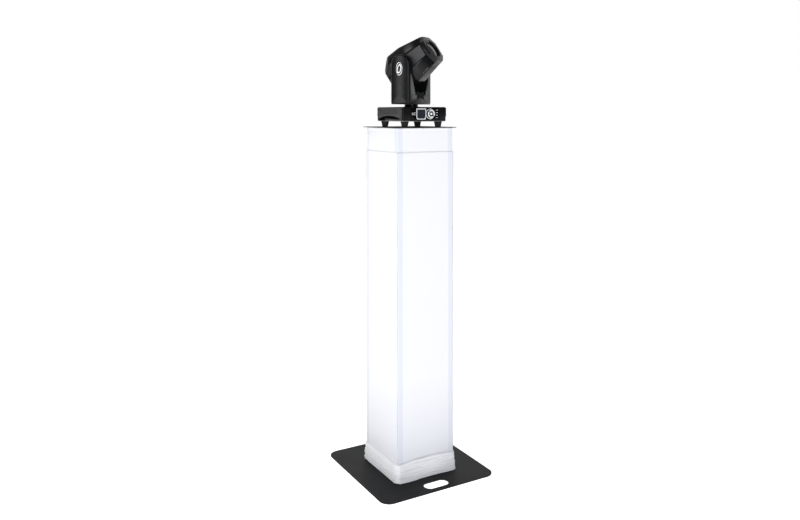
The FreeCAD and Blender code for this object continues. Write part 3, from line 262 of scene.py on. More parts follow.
def rubberFinish(name, colour):
    f = Finish(name, {"Specular IOR Level": 0.3})
    pores = f.noise(1900.0, 3.0)
    bloom = f.noise(35.0, 4.0)
    tone = f.mix(bloom * 0.5, colour, rgb(0.065, 0.065, 0.068))
    return f.surface(colour=tone, roughness=0.72 + bloom * 0.16, normal=f.bump(pores, 0.00010, 0.6))


def printedInk(name, colour):
    f = Finish(name, {})
    worn = f.noise(700.0, 4.0, roughness=0.7)
    tone = f.mix(f.clamp((worn - 0.58) * 5.0) * 0.5, colour, tuple(c * 0.55 for c in colour[:3]) + (1.0,))
    return f.surface(colour=tone, roughness=0.42 + worn * 0.15, normal=f.bump(worn, 0.00002, 0.5))


def screenFinish(name):
    f = Finish(name, {"Emission Strength": 0.6, "Coat Roughness": 0.02, "Specular IOR Level": 0.6})
    z = f.parts(f.place())[2]
    rows = f.math("SINE", (z - panelMiddle) * (2 * math.pi / 0.0062))
    block = f.noise(420.0, 0.0)
    lit = f.clamp((rows - 0.55) * 6.0) * f.clamp((block - 0.5) * 20.0)
    glow = f.mix(lit, rgb(0.004, 0.006, 0.010), rgb(0.05, 0.07, 0.11))
    return f.surface(colour=f.mix(block, rgb(0.006, 0.008, 0.012), rgb(0.011, 0.014, 0.02)), glow=glow,
                     coat=0.9, roughness=0.12 + block * 0.06)


def lensFinish(name):
    f = Finish(name,
               {"Transmission Weight": 0.5, "IOR": 1.5, "Coat Roughness": 0.02, "Specular IOR Level": 0.15})
    haze = f.noise(120.0, 4.0)
    layer = f.node("LayerWeight", {}, {"Blend": 0.35}, 1)
    colour = f.mix(layer, rgb(0.020, 0.024, 0.034), rgb(0.055, 0.046, 0.072))  # anti-reflection coating
    return f.surface(colour=colour, roughness=0.03 + haze * 0.05, coat=0.10 + haze * 0.08)


def chromeFinish(name):
    f = Finish(name, {})
    haze = f.noise(160.0, 5.0, roughness=0.6)
    scratch = f.noise(1400.0, 2.0, f.node("Mapping", {}, {"Vector": f.place(), "Scale": (1, 1, 0.08)}))
    tone = f.mix(haze, rgb(0.62, 0.62, 0.64), rgb(0.46, 0.47, 0.50))
    return f.surface(colour=tone, metallic=1.0, roughness=0.18 + haze * 0.12,
                     normal=f.bump(scratch, 0.00002, 0.5))


def boardFinish(name):
    f = Finish(name, {"Coat Roughness": 0.1})
    x, z = f.parts(f.place())[::2]
    traces = f.clamp((f.math("SINE", x * 1900.0) * f.math("SINE", z * 1500.0) - 0.35) * 8.0)
    grain = f.noise(300.0, 3.0)
    tone = f.mix(traces * 0.6, rgb(0.012, 0.075, 0.035), rgb(0.03, 0.16, 0.07))
    return f.surface(colour=tone, roughness=0.35 + grain * 0.15, coat=0.4 + grain * 0.2,
                     normal=f.bump(traces, 0.00005, 0.6))


def lampFinish(name, colour, strength):
    f = Finish(name, {"Emission Strength": strength, "Specular IOR Level": 0.6})
    grain = f.noise(2200.0, 2.0)
    return f.surface(colour=f.mix(grain, colour, tuple(c * 0.7 for c in colour[:3]) + (1.0,)),
                     glow=f.mix(grain, colour, rgb(0.9, 0.9, 0.9)), roughness=0.2 + grain * 0.1)


coverCloth = {
    "sidePoints": 52, "cornerPoints": 9, "wall": 0.9 * mm, "standOff": 0.35 * mm, "cornerRadius": 4.5 * mm,
    "hem": 11 * mm, "stepDrop": 7 * mm, "bow": 1.3 * mm, "bodyRows": 64, "rolls": 7, "rowsPerRoll": 14,
    "foldHeight": 0.0905, "foldRise": 0.0095, "foldWave": 0.0012, "foot": 5.9 * mm, "droop": 0.42,
    "leanTop": 3.4 * mm,
    "leanFoot": 9.5 * mm, "depthTop": 7.5 * mm, "depthFoot": 8.5 * mm, "sharpness": 0.6, "wander": 0.8,
    "ripple": 0.8 * mm, "footRadius": 26 * mm, "dragDepth": 1.1 * mm,
    "topGap": 0.3 * mm, "hemLip": 0.8 * mm, "hemEdge": 1.2 * mm, "hemProud": 0.55 * mm, "upperRows": 12,
    "overCollar": 6 * mm, "stepRows": 8, "stepStretch": 1.4, "uneven": 0.25 * mm, "tuck": 0.985,
    "measuredAt": 20,
    "dragReach": 0.55, "dragFan": 0.10, "dragWide": 0.24, "dragAt": 0.022, "dragTall": 0.026,
    "dragPitch": 0.0042, "looseLeft": 0.5, "swell": 0.85, "swellRange": 0.55, "overPosts": 1.5 * mm,
    "crisp": (1.0, 0.7, 0.7, 0.25),
    "wale": 1.1 * mm, "course": 0.85 * mm, "postInner": 0.1215, "postBlur": 0.007,
    "leftFrom": -0.1525, "darkBelow": 0.46, "footShade": 0.30, "footShadeColour": rgb(0.50, 0.53, 0.60),
    "foldLitColour": rgb(0.93, 0.93, 0.955), "creaseShadeColour": rgb(0.30, 0.32, 0.38), "creaseDark": 0.9,
    "colour": rgb(0.875, 0.88, 0.91), "postShadeColour": rgb(0.76, 0.785, 0.85),
    "cloudColour": rgb(0.84, 0.85, 0.90),
}

finishes = {
    "plate_coat": powderCoat("plateCoat", rgb(0.004, 0.004, 0.0044), rgb(0.008, 0.008, 0.0088), 0.42),
    "post_coat": powderCoat("postCoat", rgb(0.030, 0.030, 0.033), rgb(0.048, 0.048, 0.052), 0.5),
    "post_steel": bareMetal("postSteel", rgb(0.60, 0.61, 0.63), 0.28, (1.0, 1.0, 0.03)),
    "fastener": bareMetal("fastenerSteel", rgb(0.045, 0.045, 0.048), 0.34, (1.0, 1.0, 1.0)),
    "guide_plastic": mouldedPlastic("guideNylon", rgb(0.020, 0.020, 0.021), rgb(0.036, 0.036, 0.038), 0.5),
    "cover_cloth": knitCloth("coverKnit"),
    "light_plastic": mouldedPlastic("lightPlastic", rgb(0.0026, 0.0026, 0.0028), rgb(0.0052, 0.0052, 0.0056),
                                    0.24, 0.000035),
    "panel_plastic": glossPlastic("panelGloss", rgb(0.002, 0.002, 0.0024), 0.16),
    "display_glass": screenFinish("displayWindow"),
    "dial_plastic": mouldedPlastic("dialPlastic", rgb(0.012, 0.012, 0.013), rgb(0.022, 0.022, 0.023), 0.42),
    "lens_glass": lensFinish("lensGlass"),
    "badge_metal": chromeFinish("badgeChrome"),
    "foot_rubber": rubberFinish("footRubber", rgb(0.018, 0.018, 0.018)),
    "connector": mouldedPlastic("connectorPlastic", rgb(0.012, 0.012, 0.012), rgb(0.026, 0.026, 0.027), 0.38),
    "circuit_board": boardFinish("circuitBoard"),
    "motor_steel": bareMetal("motorSteel", rgb(0.34, 0.34, 0.36), 0.34, (1.0, 1.0, 0.2)),
    "aluminium": bareMetal("milledAluminium", rgb(0.66, 0.67, 0.69), 0.30, (1.0, 0.12, 1.0), 700.0),
    "belt_rubber": rubberFinish("beltRubber", rgb(0.022, 0.022, 0.022)),
}
inkWhite = printedInk("inkWhite", rgb(0.86, 0.87, 0.88))
inkGrey = printedInk("inkGrey", rgb(0.30, 0.31, 0.32))
lampWhite = lampFinish("lampWhite", rgb(0.55, 0.57, 0.60), 0.25)
# near-black for the lens barrel and the dial's pointer marks, and painted shade for holes, vent slots and the
# bridge's recess
blackAndRecessShade = mouldedPlastic("blackAndRecessShade", rgb(0.0006, 0.0006, 0.0006), rgb(0.0016, 0.0016, 0.0016), 0.8)
# painted highlight: a much paler copy of the head plastic, standing in for light falling on the upper side facets
litFacetPlastic = mouldedPlastic("litFacetPlastic", rgb(0.046, 0.046, 0.048), rgb(0.062, 0.062, 0.065), 0.34)
print("materials made:", len(finishes) + 5)

slotOf = {row["node"]: row["material_slot"] for row in frame["record"]["subparts"]}
for node, thing in frame["nodes"].items():
    thing.data.materials.clear()
    thing.data.materials.append(finishes[slotOf[node]])


# Mesh helpers
def finishPiece(name, bm, body, material, space=None, nodes=(), angle=34.0, normals=True):
    if normals:
        bmesh.ops.recalc_face_normals(bm, faces=bm.faces[:])
    if space is not None:
        bmesh.ops.transform(bm, matrix=space, verts=bm.verts[:])
    mesh = bpy.data.meshes.new(name)
    bm.to_mesh(mesh)
    bm.free()
    for polygon in mesh.polygons:
        polygon.use_smooth = True
    mesh.set_sharp_from_angle(angle=math.radians(angle))
    mesh.materials.append(material)
    piece = bpy.data.objects.new(name, mesh)
    bpy.context.scene.collection.objects.link(piece)
    if nodes:
        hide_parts(*nodes)
    if body:
        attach(piece, body)
    return piece


def addBox(bm, size, centre, turn=None):
    matrix = Matrix.Translation(centre) @ (turn or Matrix()) @ Matrix.Diagonal((*size, 1.0))
    return bmesh.ops.create_cube(bm, size=1.0, matrix=matrix)["verts"]


def aim(axis):
    return Vector(axis).to_track_quat("Z", "Y").to_matrix().to_4x4()


def addRod(bm, radius, length, centre, axis=(0, 0, 1), steps=24, endRadius=None):
    return bmesh.ops.create_cone(
        bm, cap_ends=True, segments=steps, radius1=radius, radius2=radius if endRadius is None else endRadius,
        depth=length, matrix=Matrix.Translation(centre) @ aim(axis))["verts"]


def addRing(bm, radius, thick, centre, axis=(0, 0, 1), steps=48, sides=10):
    circle = bmesh.ops.create_circle(bm, segments=sides, radius=thick, cap_ends=False,
                                     matrix=Matrix.Translation((radius, 0, 0))
                                     @ Matrix.Rotation(math.pi / 2, 4, "X"))
    edges = list({e for v in circle["verts"] for e in v.link_edges})
    bmesh.ops.spin(bm, geom=circle["verts"] + edges, cent=(0, 0, 0), axis=(0, 0, 1), angle=2 * math.pi,
                   steps=steps, use_merge=True)
    made = [v for v in bm.verts if not v.tag]
    bmesh.ops.transform(bm, matrix=Matrix.Translation(centre) @ aim(axis), verts=made)
    for v in bm.verts:
        v.tag = True
    return made


def addSpin(bm, profile, steps=48, space=None):
    for v in bm.verts:
        v.tag = True
    verts = [bm.verts.new((r, 0, z)) for r, z in profile]
    edges = [bm.edges.new(pair) for pair in zip(verts, verts[1:])]
    bmesh.ops.spin(bm, geom=verts + edges, cent=(0, 0, 0), axis=(0, 0, 1), angle=2 * math.pi, steps=steps,
                   use_merge=True)
    made = [v for v in bm.verts if not v.tag]
    bmesh.ops.remove_doubles(bm, verts=made, dist=1e-6)
    made = [v for v in bm.verts if not v.tag]
    if space is not None:
        bmesh.ops.transform(bm, matrix=space, verts=made)
    return made


def addSlab(bm, outline, along):
    face = bm.faces.new([bm.verts.new(p) for p in outline])
    grown = bmesh.ops.extrude_face_region(bm, geom=[face])["geom"]
    moved = [g for g in grown if isinstance(g, bmesh.types.BMVert)]
    bmesh.ops.translate(bm, vec=along, verts=moved)
    return list(face.verts) + moved


def sharpEdges(bm, angle=25.0, test=None):
    limit = math.radians(angle)
    return [e for e in bm.edges
            if len(e.link_faces) == 2 and e.calc_face_angle(0) > limit and (not test or test(e))]


def roundEdges(bm, edges, width, segments=3):
    bmesh.ops.bevel(bm, geom=edges, offset=width, offset_type="OFFSET", affect="EDGES", segments=segments,
                    profile=0.5, material=-1, clamp_overlap=True)


def copyOf(node, space=None):
    bm = bmesh.new()
    bm.from_mesh(frame["nodes"][node].data)
    bmesh.ops.remove_doubles(bm, verts=bm.verts[:], dist=2e-6)
    bmesh.ops.dissolve_limit(bm, angle_limit=math.radians(1.5), verts=bm.verts[:], edges=bm.edges[:],
                             delimit={"NORMAL"})
    if space is not None:
        bmesh.ops.transform(bm, matrix=space.inverted(), verts=bm.verts[:])
    return bm


def addScrews(bm, places, axis, radius, height=1.2 * mm, steps=18):
    for place in places:
        space = Matrix.Translation(place) @ aim(axis)
        hexRadius = radius * 0.5
        profile = [(0, -height), (radius, -height), (radius, height * 0.4), (radius * 0.86, height),
                   (hexRadius, height), (hexRadius * 0.96, height * 0.1), (0, height * 0.1)]
        addSpin(bm, profile, steps, space)


# Stretch cover
def squareRing(half, radius):
    ring = []
    straight = half - radius
    for side in range(4):
        turn = Matrix.Rotation(side * math.pi / 2, 2)
        for step in range(coverCloth["sidePoints"]):
            share = step / coverCloth["sidePoints"]
            ring.append((turn @ Vector((straight * (2 * share - 1), -half)), turn @ Vector((0, -1)), side,
                         share))
        for step in range(coverCloth["cornerPoints"]):
            angle = math.pi / 2 * step / coverCloth["cornerPoints"]
            out = Vector((math.sin(angle), -math.cos(angle)))
            ring.append((turn @ (Vector((straight, -straight)) + out * radius), turn @ out, side, 1.0))
    return ring


def foldTop(side, share):
    # the bunch stands a little higher in the middle of the front than elsewhere
    c = coverCloth
    rise = c["foldRise"] * math.sin(math.pi * share) ** 1.2 if side == 0 else 0.0
    return c["foldHeight"] + rise + c["foldWave"] * math.sin((side + share) * 7.1 + 1.0)


def rounded(x, y, half, radius):
    # draws a place near a corner of the square in to an arc
    inner = half - radius
    if abs(x) <= inner or abs(y) <= inner:
        return Vector((x, y))
    centre = Vector((math.copysign(inner, x), math.copysign(inner, y)))
    away = Vector((x, y)) - centre
    return centre + away.normalized() * min(away.length, radius)


def makeCover():
    c = coverCloth
    postHalf = high("outer_post_front_right", 0)
    top = low("top_plate", 2) - c["topGap"]
    collar = high("post_collars", 2)
    inset = postHalf - high("inner_post_front_right", 0)
    ring = squareRing(postHalf + c["standOff"], c["cornerRadius"])
    bm = bmesh.new()
    uvLayer = bm.loops.layers.uv.new("cloth")
    creaseShadeLayer = bm.verts.layers.float.new("creaseShade")
    bunchedLayer = bm.verts.layers.float.new("bunched")

    stepTop = collar + c["overCollar"]
    bodyRows = [top, top - c["hemEdge"], top - c["hem"] * 0.5, top - c["hem"] + c["hemLip"], top - c["hem"],
                top - c["hem"] - c["hemLip"]]
    hemFoot = bodyRows[-1]
    bodyRows += [hemFoot + (stepTop - hemFoot) * (n + 1) / c["upperRows"] for n in range(c["upperRows"])]
    stepLong = c["stepDrop"] * c["stepStretch"]
    bodyRows += [stepTop - stepLong * (n + 1) / c["stepRows"] for n in range(c["stepRows"])]
    start = bodyRows[-1]

    def bodyPoint(point, out, side, share, z):
        over = min(max((collar + 5 * mm - z) / c["stepDrop"], 0), 1)
        over = over * over * (3 - 2 * over)
        away = -inset * (1 - over)
        away -= c["bow"] * math.sin(math.pi * min(share, 1.0)) ** 0.6
        if z > top - c["hem"]:
            away += c["hemProud"]
        if side == 3 and share < c["dragReach"]:  # drag lines that fan out from the upper back corner
            fan = (top - z) - share * c["dragFan"]
            pull = math.exp(-(share / c["dragWide"]) ** 2)
            pull *= math.exp(-(((top - z) - c["dragAt"]) / c["dragTall"]) ** 2)
            away += c["dragDepth"] * pull * math.sin(fan / c["dragPitch"])
        away += c["uneven"] * noise.noise(Vector((point.x * 9, point.y * 9, z * 5)))
        return Vector((point.x + out.x * away, point.y + out.y * away, z))

    rows = []
    for z in bodyRows:
        rows.append([bodyPoint(*place, z) for place in ring])
    for n in range(c["bodyRows"]):
        share = (n + 1) / c["bodyRows"]
        share = 1 - (1 - share) ** 1.35
        rows.append([bodyPoint(*place, start + (foldTop(place[2], place[3]) - start) * share)
                     for place in ring])

    phases = c["rolls"] * c["rowsPerRoll"]
    for n in range(1, phases + 1):
        phase = n / c["rowsPerRoll"]
        roll, share = divmod(phase, 1.0)
        drop = phase / c["rolls"]
        bulge = math.sin(math.pi * share)
        row = []
        for point, out, side, along in ring:
            around = (side + along) / 4 * 2 * math.pi
            circle = Vector((math.cos(around), math.sin(around), 0))
            crest = foldTop(side, along)
            wander = noise.noise(circle * 1.7 + Vector((0, 0, phase * 0.5))) + 0.3 * noise.noise(circle * 9.0)
            level = drop + c["wander"] * wander * math.sin(math.pi * drop) / c["rolls"]
            swell = c["swell"] + c["swellRange"] * noise.noise(circle * 2.6 + Vector((7, 3, roll * 1.7)))
            if side == 3:
                swell *= c["looseLeft"]  # the left face is bunched more loosely
            depth = (c["depthTop"] + (c["depthFoot"] - c["depthTop"]) * drop) * swell
            lean = c["leanTop"] + (c["leanFoot"] - c["leanTop"]) * math.sqrt(drop)
            away = lean + depth * (bulge ** c["sharpness"] - 0.35)
            away += c["ripple"] * noise.noise(Vector((point.x * 45, point.y * 45, phase * 2.4)))
            height = crest + (c["foot"] - crest) * min(level, 1.0)
            height -= c["droop"] * (crest - c["foot"]) / c["rolls"] * bulge * swell
            half = postHalf + c["standOff"] + away
            clear = (half * math.sqrt(2) - (postHalf * math.sqrt(2) + c["overPosts"])) / (math.sqrt(2) - 1)
            radius = min(c["footRadius"], max(clear, c["cornerRadius"]))
            spot = rounded(point.x + out.x * away, point.y + out.y * away, half, radius)
            row.append(Vector((spot.x, spot.y, max(height, c["foot"]))))
        rows.append(row)
    rows.append([Vector((p.x * c["tuck"], p.y * c["tuck"], c["foot"])) for p in rows[-1]])

    size = len(ring)
    grid = [[bm.verts.new(p) for p in row] for row in rows]
    firstFold = len(bodyRows) + c["bodyRows"]
    # painted shade: each fold vertex gets a crease value, highest in the creases between the rolls, that darkens
    # the cloth colour
    for n, row in enumerate(grid[firstFold:]):
        share = (n + 1) / c["rowsPerRoll"] % 1.0
        for k, vert in enumerate(row):
            where = Vector((vert.co.x * 14, vert.co.y * 14, n // c["rowsPerRoll"] * 3.1))
            streak = 0.6 + 0.8 * noise.noise(where)
            crisp = c["crisp"][ring[k][2]] * min(max(streak, 0.1), 1.0)
            vert[creaseShadeLayer] = c["creaseDark"] * crisp * (1 - math.sin(math.pi * share)) ** 3
            vert[bunchedLayer] = min((n + 1) / 4, 1.0)
    around = [0.0]
    for n in range(size):
        around.append(around[-1] + (ring[(n + 1) % size][0] - ring[n][0]).length)
    down = [0.0]
    for n in range(1, len(rows)):
        down.append(down[-1] + (rows[n][c["measuredAt"]] - rows[n - 1][c["measuredAt"]]).length)
    for r in range(len(rows) - 1):
        for n in range(size):
            m = (n + 1) % size
            face = bm.faces.new((grid[r][n], grid[r + 1][n], grid[r + 1][m], grid[r][m]))
            spots = ((around[n], down[r]), (around[n], down[r + 1]), (around[n + 1], down[r + 1]),
                     (around[n + 1], down[r]))
            for loop, spot in zip(face.loops, spots):
                loop[uvLayer].uv = spot
    print("cover:", len(bm.faces), "faces,", round(around[-1], 3), "round,", round(down[-1], 3), "long")
    cover = finishPiece("stretchCover", bm, None, finishes["cover_cloth"], angle=80.0,
                        normals=True, nodes=("cover_lower", "cover_upper"))
    solid = cover.modifiers.new("cloth", "SOLIDIFY")
    solid.thickness, solid.offset = c["wall"], 1.0
    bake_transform(cover)


makeCover()

# The light's head
headForm = {
    "round": 5.0 * mm, "roundSteps": 4, "wall": 2.6 * mm, "split": 0.2 * mm, "fanOpening": 36 * mm,
    "fanLip": 4 * mm,
    "fanLift": 3 * mm, "back": 118 * mm, "fanRim": 2 * mm, "fanTaper": 0.95, "edgeLimit": 0.09,
    # place along the lens axis, half width, bottom, top, half of the flats, height of the cut corners
    "sections": ((-118, 54, -44, 52, 36, 20), (-83, 66, -68, 92, 36, 34), (-69, 72, -78, 102.5, 37, 42),
                 (4, 75, -94, 103, 37, 57), (124, 72, -70, 79.5, 34, 39)),
}


def headCorners(row):
    place, half, bottom, top, flat, cut = (value * mm for value in row)
    right = [(flat, top), (half, top - cut), (half, bottom + cut), (flat, bottom)]
    return [Vector((x, -place, z)) for x, z in right + [(-x, z) for x, z in reversed(right)]]


def headFacet(first, corner, side, along, down):
    # a place on one long facet between two sections, and the facet's outward direction
    near, far = (headCorners(headForm["sections"][n]) for n in (first, first + 1))
    a = near[corner].lerp(far[corner], along)
    b = near[corner + 1].lerp(far[corner + 1], along)
    out = (near[corner + 1] - near[corner]).cross(far[corner] - near[corner]).normalized()
    out = out if out.x > 0 else -out
    point = a.lerp(b, down)
    return Vector((point.x * side, point.y, point.z)), Vector((out.x * side, out.y, out.z))


def headHull():
    bm = bmesh.new()
    rows = [[bm.verts.new(p) for p in headCorners(row)] for row in headForm["sections"]]
    for a, b in zip(rows, rows[1:]):
        for n in range(8):
            bm.faces.new((a[n], b[n], b[(n + 1) % 8], a[(n + 1) % 8]))
    bm.faces.new(rows[0])
    bmesh.ops.recalc_face_normals(bm, faces=bm.faces[:])
    edges = [e for e in bm.edges if len(e.link_faces) == 2 and e.calc_face_angle(0) > headForm["edgeLimit"]]
    roundEdges(bm, edges, headForm["round"], headForm["roundSteps"])
    back = max((f for f in bm.faces if f.normal.y > 0.99), key=lambda f: f.calc_area())
    rim = list(back.edges)
    bmesh.ops.delete(bm, geom=[back], context="FACES_ONLY")
    middle = Matrix.Translation((0, headForm["back"], headForm["fanLift"]))
    middle = middle @ Matrix.Rotation(math.pi / 2, 4, "X")
    wide = headForm["fanOpening"] + headForm["fanRim"]
    circle = bmesh.ops.create_circle(bm, segments=48, radius=wide, matrix=middle)["verts"]
    hole = list({e for v in circle for e in v.link_edges})
    bmesh.ops.bridge_loops(bm, edges=rim + hole)
    lip = bmesh.ops.extrude_edge_only(bm, edges=[e for e in hole if e.is_valid])["geom"]
    inner = [v for v in lip if isinstance(v, bmesh.types.BMVert)]
    for v in inner:
        v.co.x *= headForm["fanTaper"]
        v.co.y -= headForm["fanLip"]
    return bm


def makeHeadShells():
    for name, node, keep in (("headShellTop", "head_shell_top", 1),
                             ("headShellBottom", "head_shell_bottom", -1)):
        bm = headHull()
        bmesh.ops.bisect_plane(bm, geom=bm.verts[:] + bm.edges[:] + bm.faces[:], dist=1e-7,
                               plane_co=(0, 0, keep * headForm["split"] / 2), plane_no=(0, 0, keep),
                               clear_inner=True)
        shell = finishPiece(name, bm, "head", finishes["light_plastic"], headSpace, (node,),
                            20.0)
        wall = shell.modifiers.new("wall", "SOLIDIFY")
        wall.thickness, wall.offset = headForm["wall"], -1.0


def addFacetSlab(bm, first, corner, side, along, down, proud, sink=0.6 * mm, soften=0.5 * mm):
    spots = [headFacet(first, corner, side, u, v) for u, v in
             ((along[0], down[0]), (along[1], down[0]), (along[1], down[1]), (along[0], down[1]))]
    out = spots[0][1]
    made = addSlab(bm, [spot[0] - out * sink for spot in spots], out * (sink + proud))
    rim = list({e for v in made[4:] for e in v.link_edges if e.other_vert(v) in made[4:]})
    upright = [e for v in made[4:] for e in v.link_edges if e.other_vert(v) in made[:4]]
    if soften:
        roundEdges(bm, rim + upright, soften, 2)


headTrim = {
    "panelAlong": (0.16, 0.955), "panelDown": (0.09, 0.90), "panelProud": 0.9 * mm, "screw": 2.6 * mm,
    "labelAlong": (0.36, 0.66), "labelDown": (0.62, 0.90), "slots": 6, "slotDown": (0.15, 0.85),
    "slotStart": 0.12, "slotStep": 0.15, "slotLong": 0.07, "bossOut": 70 * mm,
    # section, corner, share along the facet and share down it
    "screws": ((3, 2, 0.88, 0.22), (3, 2, 0.10, 0.30), (3, 0, 0.93, 0.5), (1, 2, 0.5, 0.5), (0, 1, 0.6, 0.25),
               (0, 1, 0.6, 0.75)),
    "boss": ((0.0125, 0.0), (0.021, 0.0), (0.021, 0.0068), (0.0195, 0.0085), (0.0125, 0.0085), (0.0125, 0.0)),
}


def makeHeadTrim():
    t = headTrim
    bm = bmesh.new()
    for side in (-1, 1):
        # the raised side panels take the paler painted-highlight plastic
        addFacetSlab(bm, 3, 1, side, t["panelAlong"], t["panelDown"], t["panelProud"], soften=0.8 * mm)
    finishPiece("headSidePanels", bm, "head", litFacetPlastic, headSpace, angle=20.0)
    bm = bmesh.new()
    for side in (-1, 1):
        addFacetSlab(bm, 3, 2, side, t["labelAlong"], t["labelDown"], 0.25 * mm, soften=0)
    finishPiece("headLabels", bm, "head", inkGrey, headSpace, angle=20.0)
    bm = bmesh.new()
    for side in (-1, 1):
        for first, corner, along, down in t["screws"]:
            place, out = headFacet(first, corner, side, along, down)
            addScrews(bm, [place], out, t["screw"], 0.9 * mm)
    finishPiece("headScrews", bm, "head", finishes["fastener"], headSpace, angle=30.0)
    bm = bmesh.new()
    # painted shade: dark slabs near the back of the head stand in for vent slots
    for side in (-1, 1):
        for n in range(t["slots"]):
            along = (t["slotStart"] + n * t["slotStep"], t["slotStart"] + n * t["slotStep"] + t["slotLong"])
            for corner in (0, 2):
                addFacetSlab(bm, 0, corner, side, along, t["slotDown"], 0.35 * mm, soften=0.2 * mm)
    finishPiece("headVentShades", bm, "head", blackAndRecessShade, headSpace, angle=30.0)
    bm = bmesh.new()
    for side in (-1, 1):  # bosses round the trunnions
        addSpin(bm, t["boss"], 40, Matrix.Translation((side * t["bossOut"], 0, 0)) @ aim((side, 0, 0)))
    finishPiece("trunnionBosses", bm, "head", finishes["light_plastic"], headSpace, angle=30.0)


fanGuard = {"rings": 5, "step": 0.19, "wire": 0.95 * mm, "spokes": 4, "spoke": 0.85 * mm, "inside": 1.4 * mm,
            "behind": 0.9 * mm, "past": 1.5 * mm, "hub": 6.5 * mm, "hubThick": 1.6 * mm}


def makeFanGuard():
    f = headForm
    g = fanGuard
    bm = bmesh.new()
    middle = Vector((0, f["back"] - g["inside"], f["fanLift"]))
    for ring in range(g["rings"]):
        addRing(bm, f["fanOpening"] * (1 - ring * g["step"]), g["wire"], middle, (0, 1, 0), 64, 8)
    for turn in range(g["spokes"]):
        angle = math.pi * turn / 4 + math.pi / 8
        axis = Vector((math.cos(angle), 0, math.sin(angle)))
        addRod(bm, g["spoke"], 2 * f["fanOpening"] + g["past"], middle - Vector((0, g["behind"], 0)), axis,
               10)
    addRod(bm, g["hub"], g["hubThick"], middle, (0, 1, 0), 32)
    finishPiece("fanGuard", bm, "head", finishes["fastener"], headSpace, angle=30.0)


def makeBezel():
    bm = copyOf("front_bezel", headSpace)
    front = min(v.co.y for v in bm.verts)

    def outer(e):
        away = [math.hypot(v.co.x, v.co.z) for v in e.verts]
        ahead = max(v.co.y for v in e.verts) < front + 1 * mm
        lengthwise = abs(e.verts[0].co.y - e.verts[1].co.y) > 5 * mm
        return min(away) > 60 * mm and (ahead or lengthwise)
    roundEdges(bm, sharpEdges(bm, 20.0, outer), 2.6 * mm, 4)
    finishPiece("frontBezel", bm, "head", finishes["light_plastic"], headSpace, ("front_bezel",),
                25.0)

    lens = 46 * mm
    space = Matrix.Translation((0, front, 0)) @ aim((0, -1, 0))
    bm = bmesh.new()
    addSpin(bm, [(lens + 2.6 * mm, -0.4 * mm), (lens + 3.0 * mm, 1.6 * mm), (lens + 4.0 * mm, 2.2 * mm),
                 (lens + 7.5 * mm, 2.2 * mm), (lens + 9.0 * mm, 1.2 * mm), (lens + 9.4 * mm, -0.4 * mm),
                 (lens + 2.6 * mm, -0.4 * mm)], 72, space)
    for turn in range(4):
        angle = math.pi / 4 + turn * math.pi / 2
        addScrews(bm, [Vector((math.cos(angle) * 61 * mm, front - 0.2 * mm, math.sin(angle) * 61 * mm))],
                  (0, -1, 0), 2.2 * mm, 0.8 * mm)
    finishPiece("bezelRing", bm, "head", finishes["light_plastic"], headSpace, angle=30.0)

    bm = bmesh.new()
    glass = lens - 5 * mm
    rise = 5.6 * mm
    radius = (glass ** 2 + rise ** 2) / (2 * rise)
    profile = [(0, rise - 8.3 * mm)]
    for step in range(1, 13):
        r = glass * step / 12
        profile.append((r, math.sqrt(radius ** 2 - r ** 2) - radius + rise - 8.3 * mm))
    profile += [(lens - 4.6 * mm, -8.6 * mm), (lens - 0.4 * mm, -8.6 * mm), (lens, -9.0 * mm),
                (lens, -15.2 * mm), (0, -15.2 * mm)]
    addSpin(bm, profile, 72, space)
    finishPiece("frontLens", bm, "head", finishes["lens_glass"], headSpace, ("front_lens",),
                30.0)

    bm = bmesh.new()  # dark stepped barrel behind the glass
    steps = 6
    profile = [(lens - 0.5 * mm, -16.0 * mm)]
    for step in range(steps):
        r, z = lens - (2 + step * 2.6) * mm, -(16.5 + step * 3.2) * mm
        profile += [(r, z), (r, z - 3.2 * mm)]
    profile += [(lens - 0.2 * mm, -(17 + steps * 3.2) * mm), (lens - 0.5 * mm, -16.0 * mm)]
    addSpin(bm, profile, 64, space)
    finishPiece("lensBarrel", bm, "head", blackAndRecessShade, headSpace, angle=30.0)


makeHeadShells()
makeHeadTrim()
makeFanGuard()
makeBezel()
print("head made")


# The light's yoke
armForm = {"bulge": 200 * mm, "inset": 2 * mm, "start": 112.2 * mm, "reach": 127 * mm, "half": 50 * mm,
           "edge": 5.5 * mm,
           "archSteps": 28, "wall": 2.2 * mm, "badgeDrop": 20 * mm, "badge": (17 * mm, 31 * mm)}


def armBulge(y):
    a = armForm
    return a["reach"] - a["bulge"] + math.sqrt(a["bulge"] ** 2 - y * y)


def armOutline(inset):
    a = armForm
    half = a["half"] - a["inset"] - inset
    bottom = low("arm_cover_left", 2) + inset
    pivot = tiltPivot.z
    corner = max(7 * mm - inset, 0.4 * mm)
    points = []
    for side in (1, -1):
        for step in range(5):
            angle = (step if side > 0 else 4 - step) / 4 * math.pi / 2
            points.append((-side * (half - corner + math.sin(angle) * corner),
                           bottom + corner - math.cos(angle) * corner))
        if side > 0:
            points.append((-half, (bottom + pivot) / 2))
            for step in range(a["archSteps"] + 1):
                angle = math.pi * step / a["archSteps"]
                points.append((-half * math.cos(angle), pivot + half * math.sin(angle)))
            points.append((half, (bottom + pivot) / 2))
    return points


